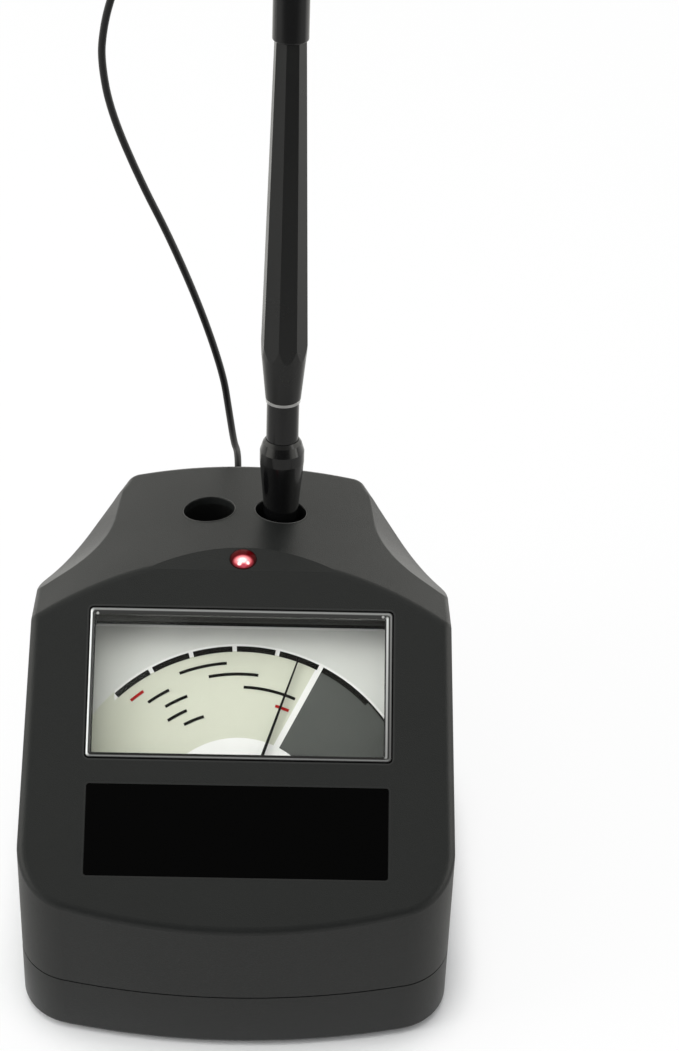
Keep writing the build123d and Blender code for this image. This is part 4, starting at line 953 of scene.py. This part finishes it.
    def make_gap(self, window):
        """The black joint round the clear cover, and the moulded edge of the panel's opening beside it,
        lighter than the housing as a painted highlight.
        """
        black = finish("window_joint", (0.0008, 0.0008, 0.0008), 0.6, Specular_IOR_Level=0.05)
        # Painted highlight: the opening's raised edge takes the lighter edge colour.
        edge = finish("window_edge", settings().finishes.edge, 0.35, depth=0.001 * MM)
        half = window.half_width
        for name, table, material in (("window_joint", self.joint_rows, black),
                                      ("window_edge", self.opening_rows, edge)):
            rows = np.array(table) * MM
            loops = [rounded_loop(-half - reach, half + reach, window.bottom - reach, window.top + reach,
                                  window.corner + reach) for reach in rows[:, 0]]
            add_piece(framed(name, loops, rows[:, 1]), "housing", "case_grey", material)


class TESTER_OT_dial(bpy.types.Operator):
    """Makes the printed dial: its field, scale, rules and dark sector"""

    bl_idname = "tester.dial"
    bl_label = "Dial"

    # Each short rule: its radius in millimetres and the angles of its two ends in degrees.
    black_rules = ((42.65, 112.1, 95.0), (39.65, 102.2, 83.3), (39.65, 127.3, 118.1), (36.2, 122.6, 112.5),
                   (32.7, 125.0, 115.1), (29.6, 119.3, 108.5), (36.15, 88.7, 66.6))
    red_rules = ((42.85, 131.8, 126.3), (32.6, 73.6, 67.0))
    scale_gaps = (120.4, 106.4, 92.2, 78.2, 63.4)
    gap_angle = math.radians(1.45)
    thick_end = math.radians(44.2)
    thin_width = 0.5 * MM
    # The printed area: half its width, its lower edge up the panel, and the painted highlight line along its
    # top edge.
    half_width = 39.3 * MM
    low_line = 44.6 * MM
    painted_highlight_line = (81.65 * MM, 82.9 * MM)
    # How far the layers reach past each other at the scale, at the hub and beside the dark sector.
    field_lead = 0.6 * MM
    field_inset = 0.2 * MM
    field_overlap = 0.15 * MM
    stripe_width = 1.6 * MM
    stripe_reach = 0.6 * MM
    sector_inset = 0.05 * MM
    sector_end = math.radians(24.0)
    field_points = 90
    round_points = 60
    scale_points = 40
    rule_points = 16

    def execute(self, context):
        dial = settings().dial
        paint(self.printed("dial_paper", dial.paper), "dial_plate")
        white_and_highlight = self.printed("dial_white", dial.white_and_highlight)
        outside = dial.arc_width / 2 + dial.outline_width
        start = dial.arc_radius * math.cos(dial.scale_start) - self.field_lead
        end = dial.arc_radius * math.cos(dial.sector_edge)
        field = [self.under_arc(dial, -self.half_width, start, outside - self.field_inset),
                 self.under_arc(dial, start, end, self.field_overlap - dial.arc_width / 2)]
        layers = [
            ("dial_outline", [self.under_arc(dial, start, end, outside)], white_and_highlight),
            ("dial_field", field, self.printed("dial_field", dial.field)),
            ("dial_hub", self.hub(dial), white_and_highlight),
            ("dial_stripe", self.sector(dial, self.stripe_width, self.stripe_reach, outside), white_and_highlight),
            ("dial_sector", self.sector(dial, 0.0, 0.0, dial.arc_width / 2 - self.sector_inset),
             self.printed("dial_sector", dial.sector)),
            # A painted highlight: a thin white line where the dial's top edge meets the case and catches the
            # light.
            ("dial_painted_highlight", self.painted_top_highlight(), white_and_highlight),
            ("dial_scale", self.scale(dial), self.printed("dial_ink", dial.ink)),
            ("dial_rules", self.rules(dial, self.black_rules), self.printed("dial_ink_rules", dial.ink)),
            ("dial_red_rules", self.rules(dial, self.red_rules), self.printed("dial_red_ink", dial.red_ink)),
        ]
        for place, (name, bands, material) in enumerate(layers):
            low = -dial.depth
            piece = ribbons(name, bands, low, low + (place + 1) * dial.film)
            add_piece(piece, "housing", "dial_print", material)
        return {"FINISHED"}

    def printed(self, name, colour):
        """Ink or paint on the dial, with a faint fibre."""
        return finish(name, colour, 0.6, smudge=0.05, tone=0.03, grain=0.25 * MM, depth=0.001 * MM,
                      Specular_IOR_Level=0.06)

    def around(self, dial, radius, angles):
        """(across, upward) points on a circle about the pivot."""
        return np.stack([radius * np.cos(angles), dial.pivot_height + radius * np.sin(angles)], 1)

    def between(self, across, low, high):
        """A band between two heights, each one number or one for each point across."""
        return tuple(np.stack(np.broadcast_arrays(across, line), 1) for line in (low, high))

    def under_arc(self, dial, left, right, margin):
        """A field from the dial's lower edge up to a circle near the scale's.

        The circle is upward = pivot + sqrt(R2 - x2).
        """
        radius = dial.arc_radius + margin
        across = np.linspace(left, right, self.field_points)
        top = dial.pivot_height + np.sqrt(np.maximum(radius ** 2 - across ** 2, 0.0))
        return self.between(across, self.low_line, np.maximum(top, self.low_line))

    def painted_top_highlight(self):
        """A thin white line along the dial's upper edge, where it meets the case: a painted highlight of that
        edge.
        """
        return [self.between(np.array([-self.half_width, self.half_width]), *self.painted_highlight_line)]

    def hub(self, dial):
        """The top of the white circle round the pivot, above the dial's lower edge."""
        reach = math.sqrt(dial.hub_radius ** 2 - (self.low_line - dial.pivot_height) ** 2)
        across = np.linspace(-reach, reach, self.round_points)
        top = dial.pivot_height + np.sqrt(dial.hub_radius ** 2 - across ** 2)
        return [self.between(across, self.low_line, top)]

    def sector(self, dial, stripe, inward, margin):
        """The dark sector: along each ray from the pivot, from the hub circle to the scale or the edge.

        A stripe moves the sector's first ray to the left by that width, square to the ray, and
        starts a little inside the hub circle.
        """
        angles = np.linspace(dial.sector_edge, self.sector_end, self.round_points)
        far = np.minimum(dial.arc_radius + margin, self.half_width / np.cos(angles))
        near = np.maximum(dial.hub_radius - inward, (self.low_line - dial.pivot_height) / np.sin(angles))
        inner_line = self.around(dial, np.minimum(near, far), angles)
        outer_line = self.around(dial, far, angles)
        if stripe:
            shift = stripe * np.array([-math.sin(dial.sector_edge), math.cos(dial.sector_edge)])
            inner_line = np.vstack([inner_line[:1] + shift, inner_line])
            outer_line = np.vstack([outer_line[:1] + shift, outer_line])
        return [(inner_line, outer_line)]

    def scale(self, dial):
        """The scale's thick line in segments, and a thin one on along the dark sector to the dial's edge."""
        gap = self.gap_angle / 2
        gaps = [math.radians(angle) for angle in self.scale_gaps]
        starts = [dial.scale_start] + [angle - gap for angle in gaps[:-1]] + [dial.sector_edge]
        ends = [angle + gap for angle in gaps] + [self.thick_end]
        widths = [dial.arc_width] * len(starts) + [self.thin_width]
        starts.append(self.thick_end)
        outside = dial.arc_radius + dial.arc_width / 2
        ends.append(math.acos(self.half_width / outside))
        bands = []
        for start, end, width in zip(starts, ends, widths):
            angles = np.linspace(start, end, self.scale_points)
            bands.append((self.around(dial, outside - width, angles), self.around(dial, outside, angles)))
        return bands

    def rules(self, dial, table):
        """Short curved rules, each at its radius between its two angles."""
        bands = []
        for radius, start, end in table:
            angles = np.radians(np.linspace(start, end, self.rule_points))
            inner = self.around(dial, radius * MM - dial.rule_width / 2, angles)
            outer = self.around(dial, radius * MM + dial.rule_width / 2, angles)
            bands.append((inner, outer))
        return bands


class TESTER_OT_movement(bpy.types.Operator):
    """Finishes the needle, its staff and coil, and the magnet, core and bearings"""

    bl_idname = "tester.movement"
    bl_label = "Meter movement"

    def execute(self, context):
        ink = finish("needle_black", (0.004, 0.004, 0.0035), 0.5, depth=0.0005 * MM, Specular_IOR_Level=0.1)
        steel = finish("staff_steel", (0.6, 0.6, 0.6), 0.22, brushed=True, grain=0.1 * MM, Metallic=1.0)
        copper = finish("copper_coil", (0.55, 0.2, 0.09), 0.3, brushed=True, grain=0.12 * MM, Metallic=1.0,
                        Coat_Weight=0.6)
        iron = finish("magnet_iron", (0.1, 0.1, 0.11), 0.45, grain=0.2 * MM, Metallic=1.0)
        brass = finish("brass", (0.7, 0.48, 0.18), 0.28, brushed=True, grain=0.15 * MM, Metallic=1.0)
        jewel = finish("jewel", (0.45, 0.02, 0.06), 0.08, depth=0.0002 * MM, Coat_Weight=1.0)
        paint(ink, "needle")
        paint(steel, "needle_staff")
        paint(copper, "moving_coil")
        paint(iron, "magnet_ring", "field_core")
        paint(brass, "movement_bridge", "hairspring", "tip_plunger")
        paint(jewel, "lower_bearing")
        return {"FINISHED"}


class TESTER_OT_light(bpy.types.Operator):
    """Makes the lit red dome of the ready light"""

    bl_idname = "tester.light"
    bl_label = "Ready light"

    # The glow through the dome, spot over spot: place to the right and to the back of its middle,
    # half width and half depth in millimetres, how soft its edge is, and its colour.
    glows = (
        (0.0, 0.0, 3.5, 3.5, 0.3, (0.05, 0.0004, 0.0012)),
        (0.0, -1.5, 2.9, 2.2, 0.5, (0.5, 0.05, 0.07)),
        (-0.1, -1.3, 2.5, 1.7, 0.95, (0.92, 0.42, 0.42)),
        (-0.2, -1.35, 1.5, 1.0, 0.95, (0.97, 0.78, 0.74)),
        (-0.9, -2.35, 0.7, 0.65, 0.7, (0.95, 0.78, 0.74)),
        (1.3, -2.1, 0.55, 0.6, 0.7, (0.95, 0.74, 0.72)),
        (0.2, -2.85, 0.9, 0.75, 0.6, (0.3, 0.04, 0.06)),
    )
    unlit = (0.012, 0.001, 0.001, 1.0)

    def execute(self, context):
        glow, tree, shader = new_material("light_red", Roughness=0.18, Specular_IOR_Level=0.1,
                                          Emission_Strength=0.75)
        places = object_places(tree)
        middle = box_middle("ready_light")
        colour = self.unlit
        for across, rearward, width, depth, soft, tint in self.glows:
            place = middle + np.array([across, rearward, 0.0]) * MM
            colour = self.spot(tree, places, place, width * MM, depth * MM, soft, tint, colour)
        feed(tree, shader.inputs["Base Color"], colour)
        feed(tree, shader.inputs["Emission Color"], colour)
        paint(glow, "ready_light")
        paint(finish("holder_black", (0.008, 0.008, 0.008), 0.5), "light_holder")
        paint(finish("wire_black", (0.01, 0.01, 0.01), 0.45), "light_wires", "meter_wires")
        return {"FINISHED"}

    def spot(self, tree, places, place, width, depth, soft, tint, under):
        """The output of a round or oval spot of one colour over the colour under it."""
        sizes = {"Vector": places, "Location": place, "Scale": (width, depth, 1.0)}
        centred = add_node(tree, "Mapping", sizes, vector_type="TEXTURE")
        away = add_node(tree, "VectorMath", {0: centred.outputs["Vector"]}, operation="LENGTH")
        inside = mapped(tree, away.outputs["Value"], 1.0 - soft, 1.0, 1.0, 0.0)
        over = add_node(tree, "Mix", {"Factor": inside, "A": under, "B": (*tint, 1.0)}, data_type="RGBA")
        return over.outputs["Result"]


class TESTER_OT_wells(bpy.types.Operator):
    """Finishes the well moulding and the two test discs"""

    bl_idname = "tester.wells"
    bl_label = "Wells"

    lip_radius = 7.0 * MM
    lip_thickness = 0.13 * MM
    lip_points = 96
    lip_sides = 10

    def execute(self, context):
        paint(finish("well_black", (0.003, 0.003, 0.003), 0.5), "well_block")
        paint(finish("disc_metal", (0.7, 0.7, 0.72), 0.2, brushed=True, grain=0.1 * MM, Metallic=1.0),
              "metal_disc")
        paint(clear_finish("disc_glass", (0.8, 0.88, 0.86), 1.52), "glass_disc")
        material = finish("well_lips", (0.05, 0.05, 0.048), 0.3, depth=0.002 * MM)
        for name in ("metal", "glass"):
            lip = self.lip(f"{name}_well_lip", box_middle(f"{name}_disc")[0])
            add_piece(lip, "housing", "well_black", material)
        return {"FINISHED"}

    def lip(self, name, across):
        """A thin round lip on the deck at a well's edge.

        Its centre line is (across + R cos a, R sin a, -drop), in the deck's own axes, where the
        crowned deck drops by C - sqrt(C2 - x2) at x from its middle.
        """
        around = np.linspace(0, 2 * np.pi, self.lip_points, endpoint=False)[:, None]
        section = np.linspace(0, 2 * np.pi, self.lip_sides, endpoint=False)[None, :]
        radius = self.lip_radius + self.lip_thickness * np.cos(section)
        x = across + radius * np.cos(around)
        slope = radius * np.sin(around)
        rise = self.lip_thickness * np.sin(section) + np.sqrt(DECK_RADIUS ** 2 - x ** 2) - DECK_RADIUS
        down_deck = np.array([0.0, math.cos(WELL_TILT), -math.sin(WELL_TILT)])
        points = wells_middle + x[..., None] * rightward + slope[..., None] * down_deck
        points = points + rise[..., None] * probe_axis
        faces = grid_faces(self.lip_points, self.lip_sides, wrap_rows=True, wrap_columns=True)
        return make_object(name, points, faces)


class TESTER_OT_probe(bpy.types.Operator):
    """Finishes the probe from its nose to its tail, with its copper tip"""

    bl_idname = "tester.probe"
    bl_label = "Probe"

    spring_low = 0.2 * MM
    spring_high = 11.8 * MM
    spring_radius = 1.45 * MM
    spring_wire = 0.2 * MM
    spring_turns = 5
    points_per_turn = 24

    def execute(self, context):
        looks = settings().finishes
        gloss = finish("probe_gloss", looks.probe, 0.14, smudge=0.03, tone=0.03, depth=0.0005 * MM)
        satin = finish("probe_grey", looks.barrel, 0.3, smudge=0.04, tone=0.04, depth=0.001 * MM)
        plated = finish("probe_metal", (0.5, 0.5, 0.5), 0.16, brushed=True, grain=0.1 * MM, depth=0.0005 * MM,
                        Metallic=1.0)
        copper = finish("tip_copper", (0.75, 0.32, 0.16), 0.25, brushed=True, grain=0.1 * MM, Metallic=1.0)
        paint(gloss, "probe_nose", "probe_neck", "probe_sleeve")
        paint(satin, "probe_barrel")
        paint(plated, "neck_ring")
        paint(copper, "probe_tip")
        self.make_spring()
        return {"FINISHED"}

    def make_spring(self):
        """The coil spring above the plunger, which shortens as the tip is pressed in.

        Its line is low + (high - low) a / 2 pi n along the axis, at the radius R, for a from 0 to 2 pi n.
        """
        count = self.points_per_turn * self.spring_turns + 1
        turns = np.linspace(0, 2 * np.pi * self.spring_turns, count)[:, None]
        front = np.cross(probe_axis, rightward)
        low, high = on_probe(self.spring_low), on_probe(self.spring_high)
        path = low + (high - low) * turns / turns[-1]
        path = path + self.spring_radius * (np.cos(turns) * rightward + np.sin(turns) * front)
        spring = tube("coil_spring", path, self.spring_wire, probe_axis, sides=10)
        steel = finish("spring_steel", (0.6, 0.6, 0.6), 0.25, depth=0.0005 * MM, Metallic=1.0)
        spring.data.materials.append(steel)
        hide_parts("tip_spring")
        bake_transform(spring)


class TESTER_OT_inside(bpy.types.Operator):
    """Finishes the circuit board, its parts and the battery cells"""

    bl_idname = "tester.inside"
    bl_label = "Board and cells"

    def execute(self, context):
        board = finish("board_green", (0.015, 0.1, 0.04), 0.4, grain=0.5 * MM, Coat_Weight=0.4)
        can = finish("can_metal", (0.55, 0.56, 0.58), 0.3, brushed=True, grain=0.15 * MM, Metallic=1.0)
        wrap = finish("cell_wrap", (0.22, 0.22, 0.24), 0.3, depth=0.001 * MM, Coat_Weight=0.5)
        paint(board, "circuit_board", "probe_strip")
        paint(can, "board_capacitors")
        paint(wrap, "battery_cells")
        return {"FINISHED"}


class TESTER_PT_looks(bpy.types.Panel):
    """Lists the tester's settings and its operators"""

    bl_idname = "TESTER_PT_looks"
    bl_label = "Tester"
    bl_space_type = "VIEW_3D"
    bl_region_type = "UI"
    bl_category = "Tester"

    def draw(self, context):
        held = context.scene.tester
        for title, group in (("Finishes", held.finishes), ("Dial", held.dial), ("Window", held.window),
                             ("Stage", held.stage)):
            box = self.layout.box()
            box.label(text=title)
            for name in group.__annotations__:
                box.prop(group, name)
        column = self.layout.column()
        for operator in OPERATORS:
            column.operator(operator.bl_idname)


OPERATORS = (TESTER_OT_stage, TESTER_OT_cord, TESTER_OT_covers, TESTER_OT_fixings, TESTER_OT_window,
             TESTER_OT_dial, TESTER_OT_movement, TESTER_OT_light, TESTER_OT_wells, TESTER_OT_probe,
             TESTER_OT_inside)
CLASSES = (TesterFinishes, TesterDial, TesterWindow, TesterStage, TesterSettings, *OPERATORS, TESTER_PT_looks)


def register():
    """Registers the classes and puts the settings on the scene."""
    for item in CLASSES:
        bpy.utils.register_class(item)
    bpy.types.Scene.tester = group_setting(TesterSettings, "Tester", "The tester's looks")


def unregister():
    """Takes the settings and the classes away again."""
    del bpy.types.Scene.tester
    for item in reversed(CLASSES):
        bpy.utils.unregister_class(item)


def main():
    """Builds everything in order."""
    register()
    for operator in OPERATORS:
        group, name = operator.bl_idname.split(".")
        getattr(getattr(bpy.ops, group), name)()


if __name__ == "__main__":
    main()
